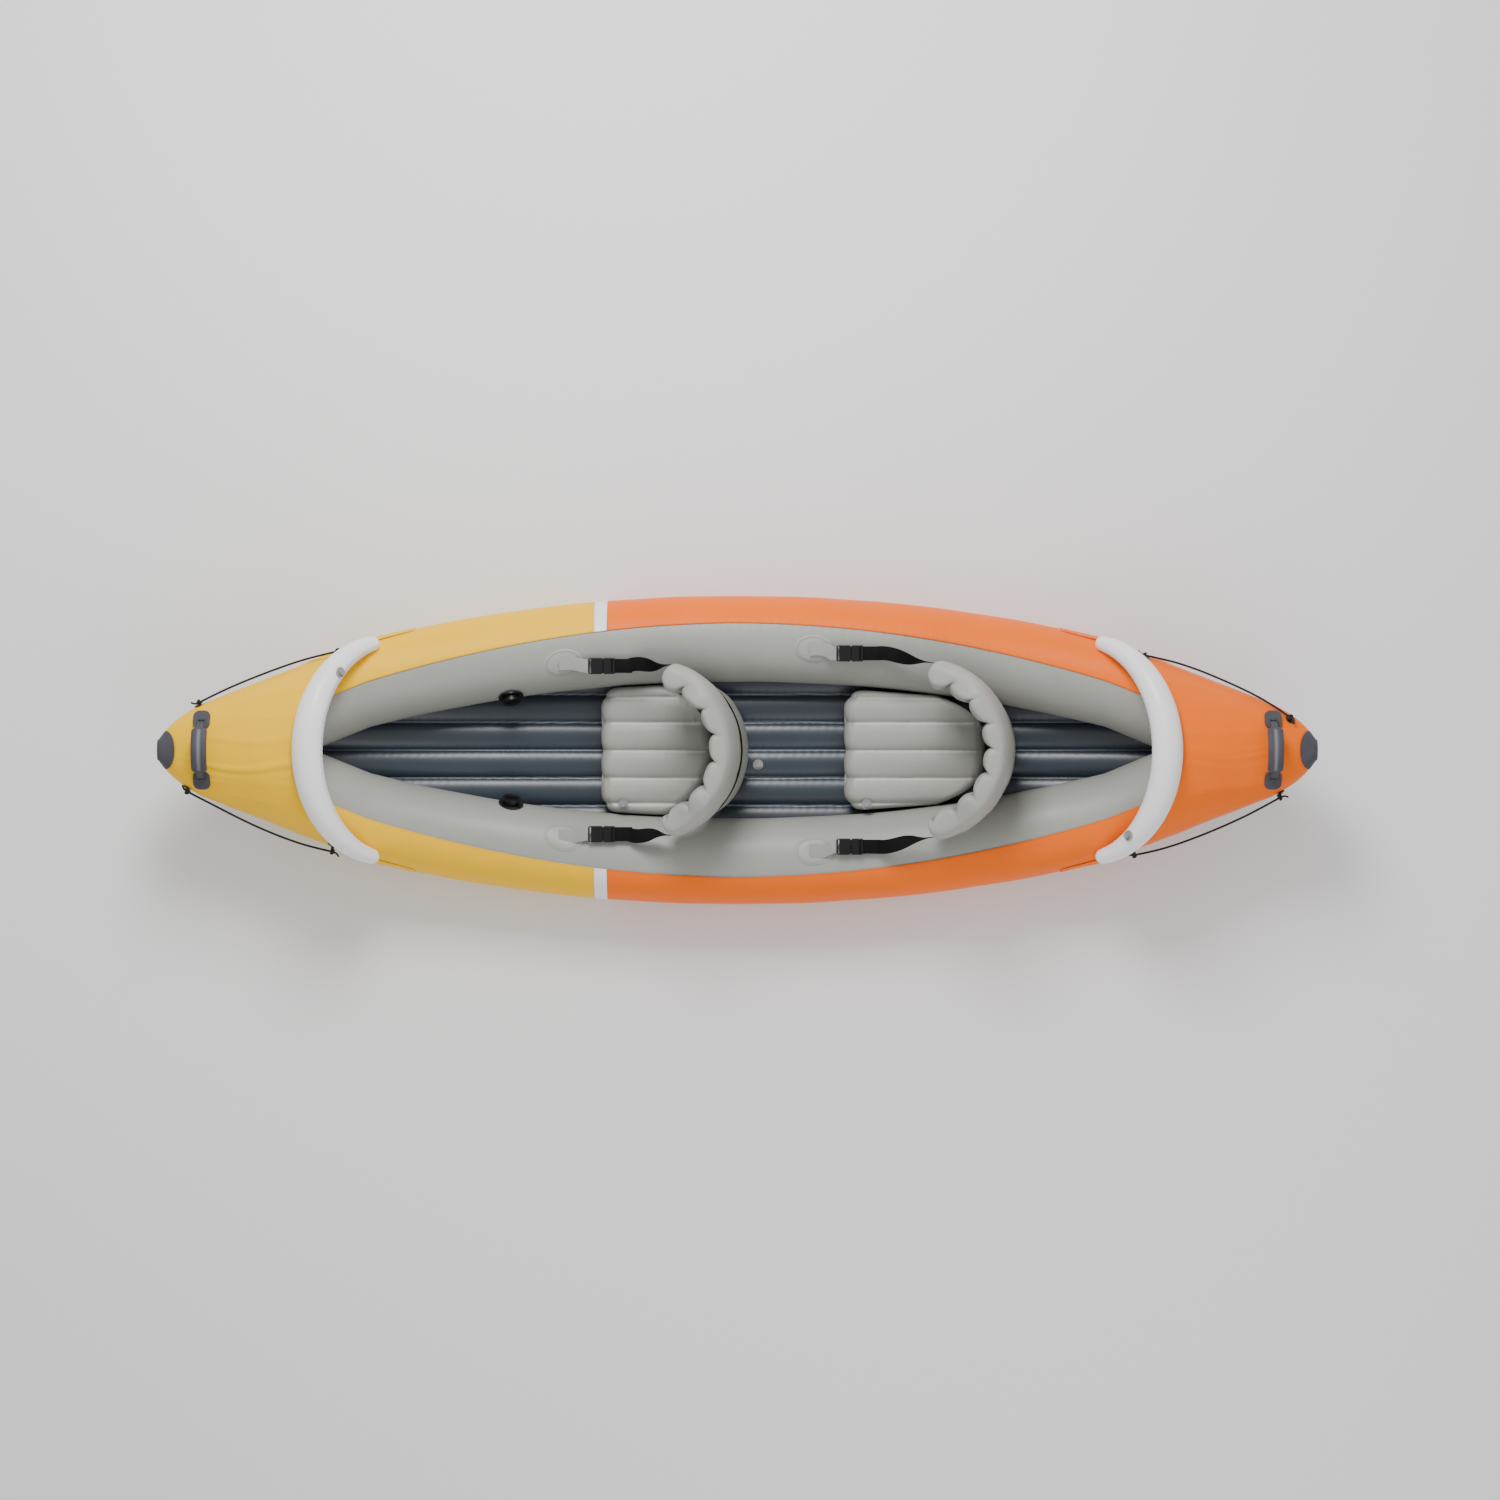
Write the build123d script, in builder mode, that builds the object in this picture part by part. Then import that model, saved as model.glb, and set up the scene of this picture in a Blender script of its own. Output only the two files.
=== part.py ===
"""Two-seat inflatable kayak.

Frame: the origin is on the ground under the middle of the boat, +X runs aft to the
stern, +Y to starboard and +Z up. All sizes are in millimetres.
"""

from build123d import *
import os
from math import cos, radians, sin, sqrt

os.makedirs("parts", exist_ok=True)

# --- Hull form -------------------------------------------------------------------
BEAM = 840  # over the two side chambers, amidships
WAIST_TAPER = 117  # loss of half beam between amidships and the deck edge
DECK_STATION = 1000  # where the decks start and the sides run straight
SHOULDER_STATION = 1443  # where the straight sides start to round into the tip
SHOULDER_HALF_BEAM = 123
TIP_STATION = 1560
CHAMBER_END = 1540
CHAMBER_RADIUS = 117
CHAMBER_SWELL = 3  # extra radius of a side chamber at the deck edge
ROCKER_START = 550  # the bottom is flat up to here
ROCKER_RISE = 300
BOTTOM_SKIN = 1.2
WELD_GAP = 0.3

# --- Outer skins ------------------------------------------------------------------
SKIN = 1.2
SKIN_BOTTOM_ANGLE = 150
BAND_FORWARD, BAND_AFT = -390, -355
DECK_SKIN = 1.8
DECK_CLEARANCE = 2.2
RIDGE_STATION, RIDGE_HEIGHT, RIDGE_FALL = 1150, 430, 58 / 350
FLAP_STATION = 880
HUG_STATION, FULL_RIDGE_STATION = 960, 1090  # the deck flaps lie on the chambers up to the first

# --- Floor --------------------------------------------------------------------------
FLOOR_END = 1130
FLOOR_KNUCKLE, FLOOR_TOP = 38, 72
FLOOR_CLEARANCE = 3

# --- Splash arches ----------------------------------------------------------------
ARCH_FOOT = (990, 288, 266)
ARCH_CROWN = (1151, 0, 432)
ARCH_END_RADIUS, ARCH_MIDDLE_RADIUS = 21, 42

# --- Seats --------------------------------------------------------------------------
CUSHION_HEIGHT = 86
CUSHION_GAP = 2
WALL = 65  # thickness of a backrest
BACK_HEIGHT = 385
STRAP_WIDTH, STRAP = 38, 2

SIDES = {"port": -1, "starboard": 1}
ENDS = {"bow": -1, "stern": 1}


def half_beam(x):
    """Half width of the boat at station x."""
    x = abs(x)
    waist = BEAM / 2 - WAIST_TAPER * (x / DECK_STATION) ** 2.1
    if x <= DECK_STATION:
        return waist
    deck_beam = BEAM / 2 - WAIST_TAPER
    if x <= SHOULDER_STATION:
        run = (x - DECK_STATION) / (SHOULDER_STATION - DECK_STATION)
        return deck_beam + run * (SHOULDER_HALF_BEAM - deck_beam)
    return SHOULDER_HALF_BEAM * sqrt((TIP_STATION - x) / (TIP_STATION - SHOULDER_STATION))


def chamber_radius(x):
    swell = CHAMBER_RADIUS + CHAMBER_SWELL * (x / DECK_STATION) ** 2
    return min(swell, half_beam(x) / 2 - WELD_GAP)


def chamber_y(x):
    return half_beam(x) - chamber_radius(x)


def rocker(x):
    """Height of the bottom above the ground."""
    run = max(0, abs(x) - ROCKER_START) / (TIP_STATION - ROCKER_START)
    return ROCKER_RISE * run**2.2


def chamber_z(x):
    return rocker(x) + BOTTOM_SKIN + WELD_GAP + chamber_radius(x)


def chamber_slope(x):
    """Sideways drift of a chamber's centre line per millimetre aft."""
    return (chamber_y(x + 5) - chamber_y(x - 5)) / 10


def ridge(x):
    """Height of the deck over the centre line, carried on past the cockpit's edge."""
    straight = RIDGE_HEIGHT - RIDGE_FALL * (abs(x) - RIDGE_STATION)
    hugging = chamber_z(x) + sqrt((half_beam(x) + 4) * (chamber_radius(x) + 3)) + 3
    rise = min(1, max(0, (abs(x) - HUG_STATION) / (FULL_RIDGE_STATION - HUG_STATION)))
    smooth_rise = rise * rise * (3 - 2 * rise)
    return max(hugging, hugging + smooth_rise * (straight - hugging))


def deck_z(x, y):
    """Height of the deck's outer face."""
    across = half_beam(x) + DECK_CLEARANCE + DECK_SKIN
    rise = ridge(x) - chamber_z(x)
    return chamber_z(x) + rise * sqrt(max(0, 1 - (y / across) ** 2))


def deck_plane(x, y, lift):
    """Plane resting on the deck at (x, y), its X as near the boat's as it can be."""
    step = 4
    slope_x = (deck_z(x + step, y) - deck_z(x - step, y)) / (2 * step)
    slope_y = (deck_z(x, y + step) - deck_z(x, y - step)) / (2 * step)
    normal = Vector(-slope_x, -slope_y, 1).normalized()
    along = Vector(1, 0, slope_x).normalized()
    return Plane(Vector(x, y, deck_z(x, y)) + normal * lift, x_dir=along, z_dir=normal)


def boundary_angle(x):
    """Where the coloured skin starts, in degrees outboard of the chamber's crown."""
    return 21 - 20 * (min(abs(x), DECK_STATION) / DECK_STATION) ** 1.5


def save(builder, name):
    builder.part.label = name
    export_step(builder.part, f"parts/{name}.step")


STATION_STEP = 90
WAIST_STATIONS = [STATION_STEP * step for step in range(1, 13)]
AFT_STATIONS = WAIST_STATIONS + [1135, 1190, 1240, 1305, 1370, 1443, 1490, 1520, CHAMBER_END]
STATIONS = [-x for x in reversed(AFT_STATIONS)] + [0] + AFT_STATIONS


# --- Inflated chambers ------------------------------------------------------------
with BuildPart() as port_side_chamber:
    for x in STATIONS:
        with BuildSketch(Plane.YZ.offset(x)):
            with Locations((-chamber_y(x), chamber_z(x))):
                Circle(chamber_radius(x))
    loft()
save(port_side_chamber, "port_side_chamber")

with BuildPart() as starboard_side_chamber:
    mirror(port_side_chamber.part, about=Plane.XZ)
save(starboard_side_chamber, "starboard_side_chamber")


def floor_half_width(x, height):
    """Room between the chambers at a height above the bottom."""
    below = chamber_z(x) - rocker(x) - height
    reach = sqrt(chamber_radius(x) ** 2 - below**2)
    return chamber_y(x) - reach - FLOOR_CLEARANCE


FLOOR_STATIONS = [-FLOOR_END] + [x for x in STATIONS if abs(x) < FLOOR_END - 20] + [FLOOR_END]
with BuildPart() as floor_chamber:
    for x in FLOOR_STATIONS:
        low = rocker(x) + BOTTOM_SKIN + WELD_GAP
        knuckle = floor_half_width(x, FLOOR_KNUCKLE)
        top = floor_half_width(x, FLOOR_TOP)
        with BuildSketch(Plane.YZ.offset(x)):
            with BuildLine():
                Polyline(
                    (-knuckle, low),
                    (knuckle, low),
                    (knuckle, rocker(x) + FLOOR_KNUCKLE),
                    (top, rocker(x) + FLOOR_TOP),
                    (-top, rocker(x) + FLOOR_TOP),
                    (-knuckle, rocker(x) + FLOOR_KNUCKLE),
                    close=True,
                )
            make_face()
    loft()
save(floor_chamber, "floor_chamber")

FLAT_END = 540
BOTTOM_STATIONS = [x for x in STATIONS if abs(x) <= 1190]
with BuildPart() as bottom_skin:
    with BuildSketch():
        flat_run = [x for x in BOTTOM_STATIONS if abs(x) <= FLAT_END]
        with BuildLine():
            Polyline(
                *[(x, chamber_y(x)) for x in flat_run],
                *[(x, -chamber_y(x)) for x in reversed(flat_run)],
                close=True,
            )
        make_face()
    extrude(amount=BOTTOM_SKIN)
    for end in ENDS.values():
        for x in [x for x in BOTTOM_STATIONS if end * x >= FLAT_END]:
            with BuildSketch(Plane.YZ.offset(x)):
                with Locations((0, rocker(x) + BOTTOM_SKIN / 2)):
                    Rectangle(2 * chamber_y(x), BOTTOM_SKIN)
        loft()
save(bottom_skin, "bottom_skin")


# --- Coloured skins and the white bands between them -------------------------------
def outer_skin(stations):
    """A hoop of skin round the outboard side of the port chamber."""
    with BuildPart() as skin:
        for x in stations:
            centre = (-chamber_y(x), chamber_z(x))
            start = 90 + boundary_angle(x)
            sweep_angle = SKIN_BOTTOM_ANGLE - boundary_angle(x)
            with BuildSketch(Plane.YZ.offset(x)):
                with BuildLine():
                    outside = CenterArc(centre, chamber_radius(x) + WELD_GAP + SKIN, start, sweep_angle)
                    inside = CenterArc(centre, chamber_radius(x) + WELD_GAP, start, sweep_angle)
                    Line(outside @ 0, inside @ 0)
                    Line(outside @ 1, inside @ 1)
                make_face()
        loft()
    return skin


SKIN_RUNS = {
    "bow_side_panel": [x for x in STATIONS if x < BAND_FORWARD - 30] + [BAND_FORWARD - 0.5],
    "stern_side_panel": [BAND_AFT + 0.5] + [x for x in STATIONS if x > BAND_AFT + 30],
    "white_band": [BAND_FORWARD, -372, BAND_AFT],
}
for name, run in SKIN_RUNS.items():
    port_skin = outer_skin(run)
    save(port_skin, f"port_{name}")
    with BuildPart() as starboard_skin:
        mirror(port_skin.part, about=Plane.XZ)
    save(starboard_skin, f"starboard_{name}")


# --- Decks ------------------------------------------------------------------------
DECK_STATIONS = [FLAP_STATION, 920, 960, 1000, 1040, 1080, 1135] + AFT_STATIONS[-8:]
for end_name, end in ENDS.items():
    with BuildPart() as deck:
        for station in DECK_STATIONS:
            x = end * station
            across = half_beam(x) + DECK_CLEARANCE
            rise = ridge(x) - chamber_z(x) - DECK_SKIN
            with BuildSketch(Plane.YZ.offset(x)):
                with BuildLine():
                    centre = (0, chamber_z(x))
                    outside = EllipticalCenterArc(
                        centre, across + DECK_SKIN, rise + DECK_SKIN, 0, arc_size=180
                    )
                    inside = EllipticalCenterArc(centre, across, rise, 0, arc_size=180)
                    Line(outside @ 0, inside @ 0)
                    Line(outside @ 1, inside @ 1)
                make_face()
        loft()
        with BuildSketch(Plane.XY.offset(100)):  # the cockpit's rounded end
            with BuildLine():
                rim = ThreePointArc((end * 1003, -292), (end * 1190, 0), (end * 1003, 292))
                Polyline(rim @ 0, (end * FLAP_STATION, -325), (end * 800, -325))
                Line((end * 800, -325), (end * 800, 325))
                Polyline((end * 800, 325), (end * FLAP_STATION, 325), rim @ 1)
            make_face()
        extrude(amount=600, mode=Mode.SUBTRACT)
    save(deck, f"{end_name}_deck")


# --- Splash arches, each one flat curve leaning out over the deck -------------------
def arch_curve(end):
    foot_x, foot_y, foot_z = ARCH_FOOT
    crown_x, _, crown_z = ARCH_CROWN
    return ThreePointArc(
        (end * foot_x, -foot_y, foot_z), (end * crown_x, 0, crown_z), (end * foot_x, foot_y, foot_z)
    )


def arch_radius(t):
    return ARCH_END_RADIUS + (ARCH_MIDDLE_RADIUS - ARCH_END_RADIUS) * sin(radians(180 * t))


for end_name, end in ENDS.items():
    curve = arch_curve(end)
    with BuildPart() as arch:
        for step in range(11):
            t = step / 10
            with BuildSketch(Plane(curve @ t, x_dir=(end * 0.73, 0, -0.683), z_dir=curve % t)):
                Circle(arch_radius(t))
        loft()
        with Locations(curve @ 0, curve @ 1):
            Sphere(ARCH_END_RADIUS)
    save(arch, f"{end_name}_splash_arch")


# --- Nose patches -------------------------------------------------------------------
NOSE_SECTIONS = [(1541, 53, 34), (1552, 40, 27), (1559, 25, 17), (1563, 12, 8)]
for end_name, end in ENDS.items():
    with BuildPart() as nose:
        for station, across, rise in NOSE_SECTIONS:
            with BuildSketch(Plane.YZ.offset(end * station)):
                with Locations((0, chamber_z(CHAMBER_END) + 8)):
                    Ellipse(across, rise)
        loft()
    save(nose, f"{end_name}_nose_patch")


# --- Carry handles ------------------------------------------------------------------
HANDLE_STATION = 1440
PIN_HEIGHT = deck_z(HANDLE_STATION, 70) + 20
PIN_RADIUS, EYE_RADIUS, EYE_CLEARANCE = 3, 8, 0.25
LUG_INNER, LUG_OUTER, LUG = 60, 82, 4
GRIP_RISE, GRIP, GRIP_WIDTH, GRIP_NECK = 65, 13, 43, 20
with BuildPart() as handle_anchor_pads:
    for end in ENDS.values():
        for side in SIDES.values():
            with BuildSketch(deck_plane(end * HANDLE_STATION, side * 80, 1.2)):
                RectangleRounded(46, 56, 18)
            extrude(amount=4)
            for lug_y in (LUG_INNER, LUG_OUTER):
                base = deck_z(HANDLE_STATION, lug_y) + 4
                with BuildSketch(Plane.XZ.offset(-side * lug_y - LUG / 2)):
                    with BuildLine():
                        left, right = end * HANDLE_STATION - 8, end * HANDLE_STATION + 8
                        Line((left, PIN_HEIGHT), (left, base))
                        Line((left, base), (right, base))
                        Line((right, base), (right, PIN_HEIGHT))
                        ThreePointArc(
                            (right, PIN_HEIGHT), (end * HANDLE_STATION, PIN_HEIGHT + 8), (left, PIN_HEIGHT)
                        )
                    make_face()
                extrude(amount=LUG)
            with BuildSketch(Plane.XZ.offset(-side * (LUG_INNER + LUG_OUTER) / 2)):
                with Locations((end * HANDLE_STATION, PIN_HEIGHT)):
                    Circle(PIN_RADIUS)
            extrude(amount=(LUG_OUTER - LUG_INNER) / 2, both=True)
save(handle_anchor_pads, "handle_anchor_pads")

EYE_MIDDLE = (LUG_INNER + LUG_OUTER) / 2
EYE_HALF = (LUG_OUTER - LUG_INNER - LUG) / 2 - 0.5
for end_name, end in ENDS.items():
    with BuildPart() as grip:
        with BuildSketch(Plane.YZ.offset(end * HANDLE_STATION)):
            with BuildLine():
                outer = ThreePointArc(
                    (-EYE_MIDDLE - GRIP / 2, PIN_HEIGHT),
                    (0, PIN_HEIGHT + GRIP_RISE),
                    (EYE_MIDDLE + GRIP / 2, PIN_HEIGHT),
                )
                inner = ThreePointArc(
                    (-EYE_MIDDLE + GRIP / 2, PIN_HEIGHT),
                    (0, PIN_HEIGHT + GRIP_RISE - GRIP),
                    (EYE_MIDDLE - GRIP / 2, PIN_HEIGHT),
                )
                Line(outer @ 0, inner @ 0)
                Line(outer @ 1, inner @ 1)
            make_face()
        extrude(amount=GRIP_WIDTH / 2, both=True)
        with BuildSketch(Plane.XY.offset(PIN_HEIGHT - 5)):
            with Locations((end * HANDLE_STATION, 0)):
                Rectangle(GRIP_NECK, 200)
                RectangleRounded(GRIP_WIDTH, 104, 18)
        extrude(amount=100, mode=Mode.INTERSECT)
        for side in SIDES.values():
            with BuildSketch(Plane.XZ.offset(-side * EYE_MIDDLE)):
                with Locations((end * HANDLE_STATION, PIN_HEIGHT)):
                    Circle(EYE_RADIUS)
            extrude(amount=EYE_HALF, both=True)
        with BuildSketch(Plane.XZ):
            with Locations((end * HANDLE_STATION, PIN_HEIGHT)):
                Circle(PIN_RADIUS + EYE_CLEARANCE)
        extrude(amount=150, both=True, mode=Mode.SUBTRACT)
    save(grip, f"{end_name}_handle_grip")


# --- Strap patches and buckles -------------------------------------------------------
# (seat, patch station, inboard angle on the chamber, buckle station, buckle y, buckle z)
STRAP_SETS = [
    ("front", -473, 21, -405, 228, 243),
    ("rear", 207, 12, 268, 262, 249),
]
PATCH_LENGTH, PATCH_WIDTH, PATCH = 108, 78, 1.5
SOCKET_LENGTH, BUCKLE_WIDTH, BUCKLE_THICK = 40, 44, 12
PLUG_LENGTH = 33
BUCKLE_WALL = 2.4
SLOT = 6
for seat, patch_x, inboard, buckle_x, buckle_y, buckle_z in STRAP_SETS:
    for side_name, side in SIDES.items():
        radius = chamber_radius(patch_x)
        along = Vector(1, side * chamber_slope(patch_x), 0).normalized()
        out = Vector(0, -side * sin(radians(inboard)), cos(radians(inboard)))
        out = (out - along * out.dot(along)).normalized()
        axis_point = Vector(patch_x, side * chamber_y(patch_x), chamber_z(patch_x))

        with BuildPart() as patch:
            with BuildSketch(Plane(axis_point, z_dir=along)):
                Circle(radius + WELD_GAP + PATCH)
                Circle(radius + WELD_GAP, mode=Mode.SUBTRACT)
            extrude(amount=PATCH_LENGTH / 2, both=True)
            with BuildSketch(Plane(axis_point, x_dir=along, z_dir=out)):
                Ellipse(PATCH_LENGTH / 2, PATCH_WIDTH / 2)
            extrude(amount=radius + 20, mode=Mode.INTERSECT)
            root = axis_point + out * (radius + 1)
            with BuildSketch(Plane.XZ.offset(-side * buckle_y)):
                with BuildLine():
                    Polyline(
                        (root.X + 8, root.Z),
                        (buckle_x + SLOT, buckle_z - 1),
                        (buckle_x + SLOT, buckle_z + 1),
                        (root.X + 8, root.Z + 2.4),
                        close=True,
                    )
                make_face()
            extrude(amount=STRAP_WIDTH / 2, both=True)
        save(patch, f"{seat}_{side_name}_strap_patch")

        socket_end = buckle_x + SOCKET_LENGTH
        inside_width = BUCKLE_WIDTH - 4 * BUCKLE_WALL
        with BuildPart() as socket:
            with Locations(((buckle_x + socket_end) / 2, side * buckle_y, buckle_z)):
                Box(SOCKET_LENGTH, BUCKLE_WIDTH, BUCKLE_THICK)
            fillet(socket.edges().filter_by(Axis.Z), 6)
            fillet(socket.faces().sort_by(Axis.Z)[-1].edges(), 2)
            with Locations((socket_end - 13, side * buckle_y, buckle_z)):
                Box(26, inside_width, BUCKLE_THICK - 2 * BUCKLE_WALL, mode=Mode.SUBTRACT)
            with Locations((socket_end - 15, side * buckle_y, buckle_z)):
                Box(13, BUCKLE_WIDTH + 2, BUCKLE_THICK - 2 * BUCKLE_WALL, mode=Mode.SUBTRACT)
            with Locations((buckle_x + SLOT, side * buckle_y, buckle_z)):
                Box(4, STRAP_WIDTH + 0.6, 2 * BUCKLE_THICK, mode=Mode.SUBTRACT)
        save(socket, f"{seat}_{side_name}_buckle_socket")

        tongue = BUCKLE_THICK - 2 * BUCKLE_WALL - 0.8
        plug_start = socket_end + 0.4
        with BuildPart() as plug:
            with Locations((plug_start + PLUG_LENGTH / 2, side * buckle_y, buckle_z)):
                Box(PLUG_LENGTH, BUCKLE_WIDTH, BUCKLE_THICK)
            fillet(plug.edges().filter_by(Axis.Z), 5)
            fillet(plug.faces().sort_by(Axis.Z)[-1].edges(), 2)
            with Locations((plug_start - 11, side * buckle_y, buckle_z)):
                Box(24, 8, tongue)
            for prong in (-1, 1):
                prong_y = side * buckle_y + prong * (inside_width / 2 - 3.4)
                with Locations((plug_start - 10, prong_y, buckle_z)):
                    Box(22, 6, tongue)
            with Locations((plug_start + PLUG_LENGTH - 9, side * buckle_y, buckle_z)):
                Box(5, STRAP_WIDTH + 0.6, 2 * BUCKLE_THICK, mode=Mode.SUBTRACT)
        save(plug, f"{seat}_{side_name}_buckle_plug")


# --- Seats ---------------------------------------------------------------------------
# (seat, front edge, rear of the cushion, backrest apex, wing, lean, low half width)
SEATS = [
    ("front", -373, -66, 40, 229, 0.155, 150),
    ("rear", 291, 676, 768, 234, 0.130, 104),
]
LOW_TOP = {"front": 170, "rear": 150}
WING_BOTTOM = {"front": 262, "rear": 275}
WING_REACH = {"front": 190, "rear": 216}
STRAP_BAND_HEIGHT = {"front": 268, "rear": 280}
SEAM_INSET = {"front": 12, "rear": 23}  # of the seam that a backrest turns on, from its apex
SEAM_RADIUS, SEAM_HALF_LENGTH = 4, 55
for seat, front, rear, apex, wing, lean, low in SEATS:
    floor_top = rocker((front + rear) / 2) + FLOOR_TOP + CUSHION_GAP
    front_half = chamber_y(front) - chamber_radius(front) - 3
    corner = rear - 133
    corner_half = chamber_y(corner) - chamber_radius(corner) - 3
    rear_floor = rocker(apex) + FLOOR_TOP
    with BuildPart() as cushion:
        with BuildSketch(Plane.XY.offset(max(floor_top, rear_floor + 0.4 if seat == "rear" else 0))):
            with BuildLine():
                Line((front, -front_half), (front, front_half))
                Line((front, front_half), (corner, corner_half))
                ThreePointArc((corner, corner_half), (rear, 0), (corner, -corner_half))
                Line((corner, -corner_half), (front, -front_half))
            make_face()
        extrude(amount=CUSHION_HEIGHT)
        fillet(cushion.edges().filter_by(Axis.Z).sort_by(Axis.X)[:2], 45)
    save(cushion, f"{seat}_seat_cushion")

    base = rear_floor + 16
    reach = WING_REACH[seat]
    wing_bottom = WING_BOTTOM[seat]
    lean_dir = (-lean, 0, 1)
    with BuildPart() as backrest:
        with BuildSketch(Plane.XY.offset(base)):
            with BuildLine():
                outer = ThreePointArc((apex - reach, -wing), (apex, 0), (apex - reach, wing))
                inner = ThreePointArc(
                    (apex - reach, WALL - wing), (apex - WALL, 0), (apex - reach, wing - WALL)
                )
                Line(outer @ 0, inner @ 0)
                Line(outer @ 1, inner @ 1)
            make_face()
        extrude(amount=BACK_HEIGHT, dir=lean_dir)
        with BuildSketch(Plane.YZ.offset(apex - 400)):
            with BuildLine():
                top = base + BACK_HEIGHT
                half_outline = [
                    (low, base - 5),
                    (low, LOW_TOP[seat]),
                    ((low + wing) / 2, wing_bottom - 22),
                    (wing + 1, wing_bottom),
                    (wing + 1, top - 60),
                    (wing - 55, top),
                ]
                Polyline(*half_outline, *[(-y, z) for y, z in reversed(half_outline)], close=True)
            make_face()
        extrude(amount=500, mode=Mode.INTERSECT)
        with BuildSketch(Plane.XZ):
            with Locations((apex - SEAM_INSET[seat], base)):
                Circle(SEAM_RADIUS)
        extrude(amount=SEAM_HALF_LENGTH, both=True)
    save(backrest, f"{seat}_backrest")

    band_base = STRAP_BAND_HEIGHT[seat]
    band_shift = lean * (band_base - base)
    with BuildPart() as back_strap:
        with BuildSketch(Plane.XY.offset(band_base)):
            with BuildLine():
                start = apex - reach - band_shift
                mid = apex - band_shift
                inner = ThreePointArc((start, -wing - 0.5), (mid + 0.5, 0), (start, wing + 0.5))
                outer = ThreePointArc(
                    (start, -wing - 0.5 - STRAP), (mid + 0.5 + STRAP, 0), (start, wing + 0.5 + STRAP)
                )
                Line(outer @ 0, inner @ 0)
                Line(outer @ 1, inner @ 1)
            make_face()
        extrude(amount=STRAP_WIDTH, dir=lean_dir)
    save(back_strap, f"{seat}_back_strap")

    # side straps: flat in the plug, turned on edge where they meet the backrest
    _, _, _, buckle_x, buckle_y, buckle_z = STRAP_SETS[0 if seat == "front" else 1]
    strap_start = buckle_x + SOCKET_LENGTH + PLUG_LENGTH + 0.8
    strap_end = start - lean * STRAP_WIDTH - 1.5
    for side_name, side in SIDES.items():
        with BuildPart() as side_strap:
            for step in range(6):
                t = step / 5
                x = strap_start + t * (strap_end - strap_start)
                y = buckle_y + t * (wing + 0.5 + STRAP / 2 - buckle_y)
                z = buckle_z + t * (band_base + STRAP_WIDTH / 2 - buckle_z)
                turn = 90 * (3 * t**2 - 2 * t**3)
                with BuildSketch(Plane.YZ.offset(x)):
                    with Locations((side * y, z)):
                        Rectangle(STRAP_WIDTH, STRAP, rotation=side * turn)
            loft()
        save(side_strap, f"{seat}_{side_name}_side_strap")


# --- Inflation valves of the side chambers --------------------------------------------
VALVE_STATION, VALVE_ANGLE = -635, 20
FLANGE_RADIUS, NECK_RADIUS, BORE_RADIUS, CAP_RADIUS = 34, 22, 15, 25
for side_name, side in SIDES.items():
    slope = chamber_slope(VALVE_STATION)
    level = Vector(slope, -side, 0).normalized()
    facing = level * cos(radians(VALVE_ANGLE)) + Vector(0, 0, sin(radians(VALVE_ANGLE)))
    centre = Vector(VALVE_STATION, side * chamber_y(VALVE_STATION), chamber_z(VALVE_STATION))
    seat_point = centre + facing * (chamber_radius(VALVE_STATION) + 0.4)
    valve_plane = Plane(seat_point, x_dir=(1, side * slope, 0), z_dir=facing)
    with BuildPart() as valve_body:
        with BuildSketch(valve_plane):
            Circle(FLANGE_RADIUS)
        extrude(amount=3)
        with BuildSketch(valve_plane.offset(3)):
            Circle(NECK_RADIUS)
        extrude(amount=9)
        with BuildSketch(valve_plane.offset(2)):
            Circle(BORE_RADIUS)
        extrude(amount=12, mode=Mode.SUBTRACT)
    save(valve_body, f"{side_name}_valve_body")
    with BuildPart() as valve_cap:
        with BuildSketch(valve_plane.offset(12.4)):
            Circle(CAP_RADIUS)
        extrude(amount=6)
        with BuildSketch(valve_plane.offset(5)):
            Circle(BORE_RADIUS - 0.3)
        extrude(amount=8)
        with BuildSketch(valve_plane.offset(18.4)):
            Rectangle(34, 6)
        extrude(amount=4)
    save(valve_cap, f"{side_name}_valve_cap")


# --- Push-in valves of the arches, the floor and the seats ----------------------------
PINCH_RADIUS, STEM_RADIUS, PINCH_BORE = 14, 7, 4
PLUG_HEAD = 7.5


def pinch_valve_body(plane):
    with BuildSketch(plane) as disc:
        Circle(PINCH_RADIUS)
    with BuildSketch(plane.offset(1.6)) as stem:
        Circle(STEM_RADIUS)
    with BuildSketch(plane.offset(1)) as bore:
        Circle(PINCH_BORE)
    return disc, stem, bore


def pinch_valves(name, planes):
    """Bodies of one or more push-in valves, in one node."""
    with BuildPart() as bodies:
        for plane in planes:
            disc, stem, bore = pinch_valve_body(plane)
            extrude(disc.sketch, amount=1.6)
            extrude(stem.sketch, amount=7)
            extrude(bore.sketch, amount=10, mode=Mode.SUBTRACT)
    save(bodies, name)


def pinch_plug(name, plane):
    with BuildPart() as plug:
        with BuildSketch(plane.offset(9)):
            Circle(PLUG_HEAD)
        extrude(amount=2.6)
        with BuildSketch(plane.offset(3)):
            Circle(PINCH_BORE - 0.2)
        extrude(amount=6.2)
    save(plug, name)


def arch_valve_plane(end, t):
    point = arch_curve(end) @ t
    facing = Vector(-end * 0.73, 0, 0.683).normalized()
    return Plane(point + facing * (arch_radius(t) + 1.2), x_dir=(0, 1, 0), z_dir=facing)


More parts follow.
